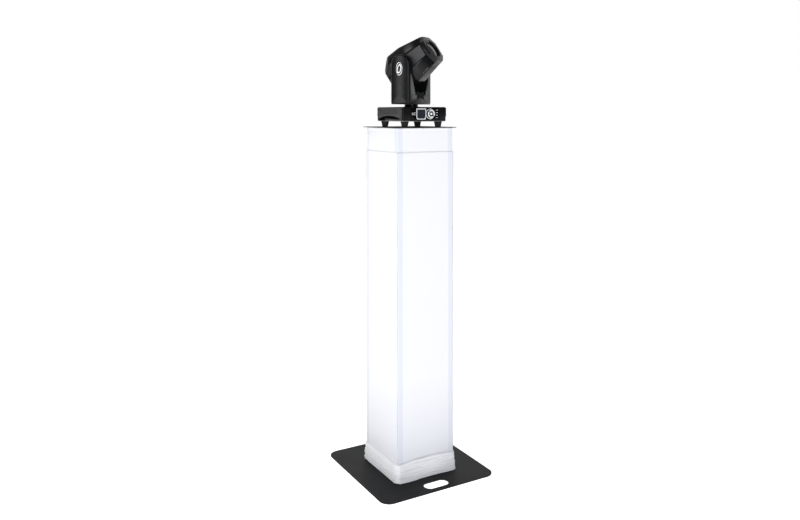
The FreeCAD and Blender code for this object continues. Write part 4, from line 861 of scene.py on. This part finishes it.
def makeArmCovers():
    a = armForm
    insets = [0.0, 0.3, 0.9, 1.9, 3.2, 4.6, 5.5, 9.0, 13.0, 18.0, 23.0, 28.0, 33.0, 37.0, 40.0]
    for name, node, side in (("armCoverLeft", "arm_cover_left", -1), ("armCoverRight", "arm_cover_right", 1)):
        bm = bmesh.new()
        rows = [[Vector((a["start"], y, z)) for y, z in armOutline(0)]]
        for inset in insets:
            depth = max(1 - inset * mm / a["edge"], 0)
            drop = 0.8 * a["edge"] * (1 - math.sqrt(max(1 - depth * depth, 0)))
            rows.append([Vector((max(armBulge(y) - drop, a["start"] + 0.2 * mm), y, z))
                         for y, z in armOutline(inset * mm)])
        grid = [[bm.verts.new((p.x * side, p.y, p.z)) for p in row] for row in rows]
        size = len(grid[0])
        for r in range(len(grid) - 1):
            for n in range(size):
                m = (n + 1) % size
                bm.faces.new((grid[r][n], grid[r][m], grid[r + 1][m], grid[r + 1][n]))
        bm.faces.new(grid[-1])
        if side > 0:
            bmesh.ops.reverse_faces(bm, faces=bm.faces[:])
        shell = finishPiece(name, bm, "yoke", finishes["light_plastic"], yokeSpace, (node,),
                            35.0)
        wall = shell.modifiers.new("wall", "SOLIDIFY")
        wall.thickness, wall.offset = a["wall"], -1.0


def addOval(bm, side, rings, turn=0.0, steps=56):
    # nested ovals that follow the arm's bulge; each ring is its share of the full oval and its height
    a = armForm
    wide, tall = a["badge"]
    rows = []
    for share, height in rings:
        row = []
        for n in range(steps):
            angle = 2 * math.pi * n / steps
            y, z = wide * share[0] * math.cos(angle), tall * share[1] * math.sin(angle)
            y, z = y * math.cos(turn) - z * math.sin(turn), y * math.sin(turn) + z * math.cos(turn)
            row.append(bm.verts.new((side * (armBulge(y) + height), y, tiltPivot.z - a["badgeDrop"] + z)))
        rows.append(row)
    for r in range(len(rows) - 1):
        for n in range(steps):
            m = (n + 1) % steps
            bm.faces.new((rows[r][n], rows[r][m], rows[r + 1][m], rows[r + 1][n]))
    return rows


def makeBadges():
    rim = bmesh.new()
    field = bmesh.new()
    mark = bmesh.new()
    for side in (-1, 1):
        addOval(rim, side, (((1.0, 1.0), -0.4 * mm), ((1.0, 1.0), 1.2 * mm), ((0.97, 0.985), 1.6 * mm),
                            ((0.86, 0.925), 1.6 * mm), ((0.82, 0.90), 0.8 * mm), ((0.82, 0.90), -0.4 * mm)))
        rows = addOval(field, side,
                       (((0.81, 0.895), -0.3 * mm), ((0.81, 0.895), 0.8 * mm), ((0.4, 0.6), 0.9 * mm),
                                     ((0.08, 0.12), 0.9 * mm)))
        field.faces.new(rows[-1])
        addOval(mark, side, (((0.66, 0.72), 0.5 * mm), ((0.66, 0.72), 1.3 * mm), ((0.38, 0.52), 1.3 * mm),
                             ((0.38, 0.52), 0.5 * mm)), 0.16)
    finishPiece("badgeRims", rim, "yoke", finishes["badge_metal"], yokeSpace, ("arm_badges",),
                30.0)
    finishPiece("badgeFields", field, "yoke", finishes["panel_plastic"], yokeSpace, angle=30.0)
    finishPiece("badgeMarks", mark, "yoke", inkWhite, yokeSpace, angle=30.0)


def makeYokeFrame():
    bm = copyOf("yoke_frame", yokeSpace)

    def outer(e):
        if any(v.co.z < low("arm_cover_left", 2) - 3 * mm for v in e.verts):
            return False
        edge = armForm["half"] - 0.5 * mm
        side = armForm["start"] - 0.7 * mm
        return all(abs(v.co.y) > edge or abs(v.co.x) > side for v in e.verts) and not (
            all(abs(v.co.x) > side for v in e.verts) and all(abs(v.co.y) < edge - 2 * mm for v in e.verts))
    roundEdges(bm, sharpEdges(bm, 30.0, outer), 1.3 * mm, 3)
    finishPiece("yokeCasting", bm, "yoke", finishes["light_plastic"], yokeSpace, ("yoke_frame",),
                25.0)
    bm = bmesh.new()
    a = armForm
    bottom = low("arm_cover_left", 2) + 20 * mm
    for front in (-1, 1):  # painted shade: a dark waisted field on the bridge, half a millimetre proud, stands in for a recess
        y = front * (a["half"] + 0.5 * mm)
        waist = [(-38, 0), (-38, 42), (-12, 34), (12, 34), (38, 42), (38, 0), (12, 8), (-12, 8)]
        addSlab(bm, [Vector((x * mm, y, bottom + z * mm)) for x, z in waist],
                Vector((0, -front * 0.9 * mm, 0)))
    finishPiece("bridgeShadeField", bm, "yoke", blackAndRecessShade, yokeSpace, angle=30.0)
    bm = bmesh.new()
    for front in (-1, 1):
        for x, z in ((-92, 24), (92, 24), (-98, 120), (98, 120), (-50, -8), (50, -8)):
            addScrews(bm, [Vector((x * mm, front * a["half"], bottom + z * mm))], (0, front, 0), 2.6 * mm,
                      0.9 * mm)
    for side in (-1, 1):
        for y, z in ((-34, -8), (34, -8)):
            place = Vector((side * (armBulge(y * mm) + 0.1 * mm), y * mm, bottom + z * mm))
            addScrews(bm, [place], (side, y * mm / a["bulge"], 0), 2.4 * mm, 0.8 * mm)
    finishPiece("yokeScrews", bm, "yoke", finishes["fastener"], yokeSpace, angle=30.0)


makeArmCovers()
makeBadges()
makeYokeFrame()
print("yoke made")


# The light's base
baseFront = low("base_housing", 1)
baseSide = (high("base_housing", 0) - low("base_housing", 0)) / 2
baseTop = high("base_housing", 2)
baseUnder = low("base_pan", 2)
baseForm = {"pad": 43 * mm, "padProud": 1.4 * mm, "hole": 2.9 * mm, "gripInset": 1.2 * mm, "gripEnd": 40 * mm,
            "gripRim": 7.4 * mm, "scoop": 27 * mm, "ink": 0.18 * mm, "dialX": 30 * mm,
            "buttonX": 63 * mm, "buttonStep": 12 * mm, "holeX": 98 * mm, "holeStep": 20 * mm}


def makeHousing():
    bm = copyOf("base_housing", baseSpace)

    def outer(e):
        middle = (e.verts[0].co + e.verts[1].co) / 2
        edge = abs(middle.x) > baseSide - 12 * mm or abs(middle.y) > -baseFront - 12 * mm
        upright = abs(e.verts[0].co.z - e.verts[1].co.z) > 30 * mm
        return (edge and middle.z > baseTop - 4 * mm) or (upright and abs(middle.x) > baseSide - 12 * mm)
    roundEdges(bm, sharpEdges(bm, 22.0, outer), 1.1 * mm, 3)
    finishPiece("baseHousing", bm, "platform", finishes["light_plastic"], baseSpace, ("base_housing",),
                25.0)

    bm = bmesh.new()  # raised corner blocks, the right one cut off below
    half, top, bottom = baseSide - 4 * mm, baseTop - 4 * mm, baseUnder + 4.5 * mm
    inner = baseSide - baseForm["pad"]
    for turn in (-1, 1):
        y = turn * -baseFront
        left = [(-half, bottom), (-inner, bottom), (-inner, top), (-half, top)]
        right = [(inner, bottom), (half - 18 * mm, bottom), (half, bottom + 20 * mm), (half, top),
                 (inner, top)]
        for outline in (left, right):
            made = addSlab(bm, [Vector((x * -turn, y - turn * 1.0 * mm, z)) for x, z in outline],
                           Vector((0, turn * (baseForm["padProud"] + 1.0 * mm), 0)))
            face = [e for e in {e for v in made for e in v.link_edges}
                    if all(abs(v.co.y) > abs(y) + 0.5 * mm for v in e.verts)]
            roundEdges(bm, face, 1.1 * mm, 3)
    finishPiece("cornerBlocks", bm, "platform", finishes["light_plastic"], baseSpace, angle=25.0)
    # painted shade: thin dark discs stand in for the holes in the corner blocks
    bm = bmesh.new()
    for turn in (-1, 1):
        y = turn * (-baseFront + baseForm["padProud"] + 0.05 * mm)
        for n in (-1, 0, 1):
            place = (turn * baseForm["holeX"], y, panelMiddle + n * baseForm["holeStep"])
            addRod(bm, baseForm["hole"], 0.3 * mm, place, (0, 1, 0), 20)
    finishPiece("cornerHoleShades", bm, "platform", blackAndRecessShade, baseSpace, angle=30.0)


def makeGripPanels():
    b = baseForm
    bottom, top = baseUnder + b["scoop"] + b["gripRim"], baseTop - b["gripRim"]
    size = (0.5 * mm, 2 * (-baseFront - b["gripEnd"] - 0.4 * mm), top - bottom)
    bm = bmesh.new()
    for side in (-1, 1):
        x = side * (baseSide - b["gripInset"] + 0.1 * mm)
        addBox(bm, size, Vector((x, 0, (bottom + top) / 2)))
    finishPiece("gripPanels", bm, "platform", finishes["guide_plastic"], baseSpace,
                angle=30.0)


# places in millimetres from the middle of the base and of the control panel
baseScrews = {"sideY": (-108, 108), "sideZ": (-19.5, 19.5), "block": (109, 22), "backX": (-83, 83, -20),
              "backZ": (-25, 25), "inletX": (-77, -35), "socketX": (8, 50), "socketScrew": (9.8, 12.2)}


def makeBaseScrews():
    b = baseScrews
    bm = bmesh.new()
    for side in (-1, 1):
        for y in b["sideY"]:
            for z in b["sideZ"]:
                addScrews(bm, [Vector((side * baseSide, y * mm, panelMiddle + z * mm))], (side, 0, 0),
                          3.4 * mm, 1.1 * mm)
    finishPiece("housingScrews", bm, "platform", finishes["fastener"], baseSpace, ("housing_screws",),
                30.0)
    bm = bmesh.new()
    x, z = (value * mm for value in b["block"])
    addScrews(bm, [Vector((x, baseFront - baseForm["padProud"], panelMiddle + z))], (0, -1, 0), 2.4 * mm)
    back = high("rear_panel", 1)
    for x in b["backX"]:
        for z in b["backZ"]:
            addScrews(bm, [Vector((x * mm, back, panelMiddle + z * mm))], (0, 1, 0), 2.2 * mm, 0.9 * mm)
    for x in b["inletX"]:
        addScrews(bm, [Vector((x * mm, high("power_inlet", 1), panelMiddle))], (0, 1, 0), 1.9 * mm, 0.7 * mm)
    across, rise = b["socketScrew"]
    for x in b["socketX"]:
        for sign in (-1, 1):
            place = Vector(((x + sign * across) * mm, high("xlr_sockets", 1), panelMiddle + sign * rise * mm))
            addScrews(bm, [place], (0, 1, 0), 1.6 * mm, 0.6 * mm)
    finishPiece("panelScrews", bm, "platform", finishes["fastener"], baseSpace, angle=30.0)


def addPrint(bm, outline, y, thick):
    addSlab(bm, [Vector((x * mm, y, panelMiddle + z * mm)) for x, z in outline], Vector((0, -thick, 0)))


def addBand(bm, inner, outer, centre, y, thick, steps=48):
    rows = []
    turns = [2 * math.pi * n / steps for n in range(steps)]
    for radius, depth in ((inner, 0), (outer, 0), (outer, -thick), (inner, -thick)):
        rows.append([bm.verts.new((centre[0] + radius * math.cos(turn), y + depth,
                                   centre[1] + radius * math.sin(turn))) for turn in turns])
    for r in range(4):
        for n in range(steps):
            m = (n + 1) % steps
            bm.faces.new((rows[r][n], rows[r][m], rows[(r + 1) % 4][m], rows[(r + 1) % 4][n]))


def makeControls():
    b = baseForm
    bm = copyOf("control_panel", baseSpace)
    edge = [e for e in sharpEdges(bm, 60.0) if all(v.co.y < panelFace + 0.3 * mm for v in e.verts)
            and (abs(e.verts[0].co.x) > 75 * mm or abs(e.verts[0].co.z - panelMiddle) > 28 * mm)]
    roundEdges(bm, edge, 0.5 * mm, 2)
    finishPiece("controlPanel", bm, "platform", finishes["panel_plastic"], baseSpace, ("control_panel",),
                30.0)
    y, ink = panelFace + 0.05 * mm, b["ink"] + 0.05 * mm
    bm = bmesh.new()
    left, right, bottom, top, cut = -46.5, 6.5, -26.5, 25.5, 6.0
    outerRim = [(left + cut, bottom), (right - cut, bottom), (right, bottom + cut), (right, top), (left, top),
                (left, bottom + cut)]
    innerRim = [(-43 + cut, -22.5), (3 - cut, -22.5), (3, -22.5 + cut), (3, 22), (-43, 22),
                (-43, -22.5 + cut)]
    count = len(outerRim)
    for n in range(count):
        m = (n + 1) % count
        addPrint(bm, [outerRim[n], outerRim[m], innerRim[m], innerRim[n]], y, ink)
    addBand(bm, 21.6 * mm, 25.0 * mm, (b["dialX"], panelMiddle), y, ink)
    for z in (-3.5, 3.5):
        addPrint(bm, [(-72, z - 1.0), (-62, z - 1.0), (-62, z + 1.0), (-72, z + 1.0)], y, ink)
        tip = 1 if z > 0 else -1
        addPrint(bm, [(-58, z - tip * 2.2), (-50, z + tip * 2.6), (-58, z + tip * 2.6)], y, ink)
    for n in range(4):
        z = (n - 1.5) * b["buttonStep"] / mm
        addPrint(bm, [(67, z - 1.4), (72, z - 1.4), (72, z + 1.4), (67, z + 1.4)], y, ink)
    finishPiece("panelPrint", bm, "platform", inkWhite, baseSpace, angle=30.0)
    bm = bmesh.new()
    for n in range(4):
        place = (b["buttonX"], panelFace + 1.0 * mm, panelMiddle + (n - 1.5) * b["buttonStep"])
        addRod(bm, 1.5 * mm, 3.0 * mm, place, (0, 1, 0), 20)
    finishPiece("statusLamps", bm, "platform", lampWhite, baseSpace, angle=30.0)

    front = low("jog_dial", 1)
    depth = high("jog_dial", 1) - front
    bm = bmesh.new()
    space = Matrix.Translation((b["dialX"], front, panelMiddle)) @ aim((0, -1, 0))
    radius = (high("jog_dial", 0) - low("jog_dial", 0)) / 2
    profile = [(0, -1.1 * mm), (radius * 0.27, -1.0 * mm), (radius * 0.30, -0.3 * mm),
               (radius * 0.62, -0.15 * mm),
               (radius * 0.88, 0), (radius * 0.95, -0.5 * mm), (radius * 0.985, -1.6 * mm), (radius, -depth),
               (0, -depth)]
    made = addSpin(bm, profile, 120, space)
    for v in made:
        away = Vector((v.co.x - b["dialX"], 0, v.co.z - panelMiddle))
        if away.length > radius * 0.97 and v.co.y < front + depth - 0.2 * mm:
            step = round(math.atan2(away.z, away.x) / (2 * math.pi) * 120)
            v.co -= away.normalized() * (0.55 * mm if step % 3 == 0 else 0)
    finishPiece("jogDial", bm, "dial", finishes["dial_plastic"], baseSpace, ("jog_dial",),
                25.0)
    bm = bmesh.new()
    addBand(bm, radius * 0.62, radius * 0.90, (b["dialX"], panelMiddle), front - 0.02 * mm, 0.22 * mm)
    addRod(bm, radius * 0.26, 0.5 * mm, (b["dialX"], front + 0.9 * mm, panelMiddle), (0, 1, 0), 32)
    finishPiece("dialPrint", bm, "dial", inkWhite, baseSpace, angle=30.0)
    bm = bmesh.new()
    turn = Matrix.Rotation(math.radians(42), 4, "Y")
    for side in (-1, 1):
        addBox(bm, (radius * 0.52, 0.3 * mm, 4.4 * mm), Vector((b["dialX"], front - 0.28 * mm, panelMiddle))
               + turn @ Vector((side * radius * 0.62, 0, 0)), turn)
    finishPiece("dialPointer", bm, "dial", blackAndRecessShade, baseSpace, angle=30.0)


def makeBaseDetails():
    bm = bmesh.new()  # rubber feet with ribs
    steps = 48
    for sx in (-1, 1):
        for sy in (-1, 1):
            space = Matrix.Translation((sx * 93 * mm, sy * 96 * mm, low("fixture_feet", 2)))
            profile = [(0, 0), (0.0118, 0), (0.0140, 0.0008), (0.0145, 0.0022), (0.0178, 0.0200),
                       (0.0190, 0.0215), (0.0190, 0.0268), (0, 0.0268)]
            centre = space.translation
            for v in addSpin(bm, profile, steps, space):
                away = Vector((v.co.x - centre.x, v.co.y - centre.y, 0))
                if away.length > 0.0142 and v.co.z < centre.z + 0.0205:
                    step = round(math.atan2(away.y, away.x) / (2 * math.pi) * steps)
                    v.co -= away.normalized() * (0.0014 if step % 4 < 2 else 0)
    finishPiece("ribbedFeet", bm, "platform", finishes["foot_rubber"], baseSpace, ("fixture_feet",),
                28.0)

    bm = bmesh.new()  # painted shade: dark discs for the holes in the signal outlet's insert, and the latch above it
    y = high("xlr_sockets", 1) - 0.95 * mm
    for pole in range(3):
        angle = math.pi / 2 + 2 * math.pi * pole / 3
        place = (50 * mm + math.cos(angle) * 4 * mm, y, panelMiddle + math.sin(angle) * 4 * mm)
        addRod(bm, 1.4 * mm, 0.3 * mm, place, (0, 1, 0), 16)
    finishPiece("outletHoleShades", bm, "platform", blackAndRecessShade, baseSpace, angle=30.0)
    bm = bmesh.new()
    addBox(bm, (6 * mm, 1.2 * mm, 3.5 * mm),
           (50 * mm, high("xlr_sockets", 1) + 0.3 * mm, panelMiddle + 11.6 * mm))
    roundEdges(bm, bm.edges[:], 0.4 * mm, 2)
    finishPiece("outletLatch", bm, "platform", finishes["fastener"], baseSpace, angle=30.0)
    bm = bmesh.new()  # blank rating plate beside the inlet
    addBox(bm, (44 * mm, 0.4 * mm, 10 * mm),
           (29 * mm, high("rear_panel", 1) + 0.1 * mm, panelMiddle - 22.5 * mm))
    finishPiece("ratingPlate", bm, "platform", inkGrey, baseSpace, angle=30.0)
    bm = bmesh.new()  # rim round the neck
    addSpin(bm, [(0.0345, -0.0005), (0.0405, -0.0005), (0.0400, 0.0014), (0.0385, 0.0020), (0.0360, 0.0020),
                 (0.0345, 0.0012), (0.0345, -0.0005)], 72, Matrix.Translation((0, 0, baseTop)))
    finishPiece("neckRim", bm, "platform", finishes["light_plastic"], baseSpace, angle=30.0)


makeHousing()
makeGripPanels()
makeBaseScrews()
makeControls()
makeBaseDetails()
print("base made")


# Stand details
weld = {"bead": 1.8 * mm, "long": 28 * mm, "out": 15.3 * mm, "postHalf": 15 * mm, "footThick": 6 * mm,
        "inner": 14 * mm}


def makeStandDetails():
    bm = bmesh.new()  # weld beads on the inner sides of the posts' feet
    centre = high("outer_post_front_right", 0) - weld["postHalf"]
    level = low("outer_post_front_right", 2) + weld["footThick"]
    past = centre + weld["inner"]
    for sx in (-1, 1):
        for sy in (-1, 1):
            for n in range(4):
                turn = Matrix.Rotation(n * math.pi / 2, 3, "Z")
                side = turn @ Vector((weld["out"], 0, 0))
                along = turn @ Vector((0, 1, 0))
                if abs(sx * centre + side.x) > past or abs(sy * centre + side.y) > past:
                    continue
                addRod(bm, weld["bead"], weld["long"], Vector((sx * centre, sy * centre, level)) + side,
                       along, 10)
    finishPiece("footWelds", bm, "stand", finishes["post_coat"], None, angle=60.0)
    bm = copyOf("top_plate")
    rim = [e for e in sharpEdges(bm, 60.0) if max(abs(e.verts[0].co.x), abs(e.verts[0].co.y)) > 160 * mm
           and abs(e.verts[0].co.z - e.verts[1].co.z) < 0.1 * mm]
    roundEdges(bm, rim, 0.5 * mm, 2)
    finishPiece("topPlate", bm, "platform", finishes["plate_coat"], None, ("top_plate",), 30.0)


makeStandDetails()
print("stand made")


# Camera, floor and lamps
view = {"lens": 34.736, "shift": -0.1856, "turn": -29.81, "far": 3.7689, "side": 0.0446, "height": 1.7203}


def makeView():
    turn = math.radians(view["turn"])
    camera = bpy.data.objects.new("viewCamera", bpy.data.cameras.new("viewCamera"))
    bpy.context.scene.collection.objects.link(camera)
    ahead = Vector((-math.sin(turn), math.cos(turn), 0))
    right = Vector((math.cos(turn), math.sin(turn), 0))
    camera.location = -ahead * view["far"] - right * view["side"] + up * view["height"]
    camera.rotation_euler = (math.pi / 2, 0, turn)
    camera.data.lens, camera.data.sensor_width, camera.data.shift_y = view["lens"], 36.0, view["shift"]
    camera.data.clip_end = 60.0
    bpy.context.scene.camera = camera


lights = (
    {"name": "sideSoft", "place": (-3.8, -0.5, 1.7), "target": (0, 0, 1.3), "size": (1.2, 2.4), "power": 34.0,
     "tint": (1.0, 0.995, 0.985)},
    {"name": "frontSoft", "place": (-1.7, -4.0, 2.2), "target": (0, 0, 1.4), "size": (1.6, 2.2),
     "power": 74.0, "tint": (0.94, 0.965, 1.0)},
    {"name": "rightStrip", "place": (3.6, 0.2, 2.3), "target": (0, 0, 1.7), "size": (0.5, 1.4), "power": 7.0,
     "tint": (0.96, 0.98, 1.0)},
    {"name": "topSoft", "place": (-0.9, 0.6, 4.4), "target": (0, 0, 1.8), "size": (1.0, 1.0), "power": 14.0,
     "tint": (1.0, 1.0, 1.0)},
    {"name": "backStrip", "place": (-2.2, 3.0, 1.6), "target": (0, 0, 1.8), "size": (0.45, 1.6),
     "power": 10.0, "tint": (1.0, 1.0, 1.0)},
    {"name": "footSoft", "place": (-1.3, -2.7, 0.42), "target": (0, 0, 0.05), "size": (1.6, 0.5),
     "power": 8.0, "tint": (0.98, 0.985, 1.0)},
)


studio = {"backdrop": (0.497, 0.868, 0.0), "from": 0.55, "to": 0.72, "room": rgb(0.10, 0.105, 0.11),
          "world": 1.0, "floorGlow": 0.93}


def makeLights():
    for row in lights:
        lamp = bpy.data.lights.new(row["name"], "AREA")
        lamp.shape, lamp.energy, lamp.color = "RECTANGLE", row["power"], row["tint"]
        lamp.size, lamp.size_y = row["size"]
        thing = bpy.data.objects.new(row["name"], lamp)
        bpy.context.scene.collection.objects.link(thing)
        thing.location = row["place"]
        toward = Vector(row["target"]) - Vector(row["place"])
        thing.rotation_euler = toward.to_track_quat("-Z", "Y").to_euler()
    world = bpy.data.worlds.new("studio")
    bpy.context.scene.world = world
    world.use_nodes = True
    tree = world.node_tree
    back = next(n for n in tree.nodes if n.type == "BACKGROUND")
    where = tree.nodes.new("ShaderNodeTexCoord")
    facing = tree.nodes.new("ShaderNodeVectorMath")
    facing.operation = "DOT_PRODUCT"
    facing.inputs[1].default_value = studio["backdrop"]
    ramp = tree.nodes.new("ShaderNodeValToRGB")
    ramp.color_ramp.elements[0].position, ramp.color_ramp.elements[1].position = studio["from"], studio["to"]
    ramp.color_ramp.elements[0].color, ramp.color_ramp.elements[1].color = studio["room"], rgb(1, 1, 1)
    tree.links.new(where.outputs["Generated"], facing.inputs[0])
    tree.links.new(facing.outputs["Value"], ramp.inputs["Fac"])
    tree.links.new(ramp.outputs["Color"], back.inputs["Color"])
    back.inputs["Strength"].default_value = studio["world"]


def makeFloor():
    bm = bmesh.new()
    bmesh.ops.create_grid(bm, x_segments=1, y_segments=1, size=14.0)
    mesh = bpy.data.meshes.new("studioFloor")
    bm.to_mesh(mesh)
    bm.free()
    floor = bpy.data.objects.new("studioFloor", mesh)
    bpy.context.scene.collection.objects.link(floor)
    f = Finish("paleFloor", {"Emission Strength": studio["floorGlow"], "Specular IOR Level": 0.1})
    paper = f.noise(2.0, 3.0)
    mesh.materials.append(f.surface(colour=f.mix(paper, rgb(0.95, 0.95, 0.95), rgb(0.97, 0.97, 0.97)),
                                    glow=rgb(1.0, 1.0, 1.0), roughness=0.9))
    floor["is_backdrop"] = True


makeView()
makeLights()
makeFloor()
bpy.context.scene.view_settings.view_transform = "Standard"

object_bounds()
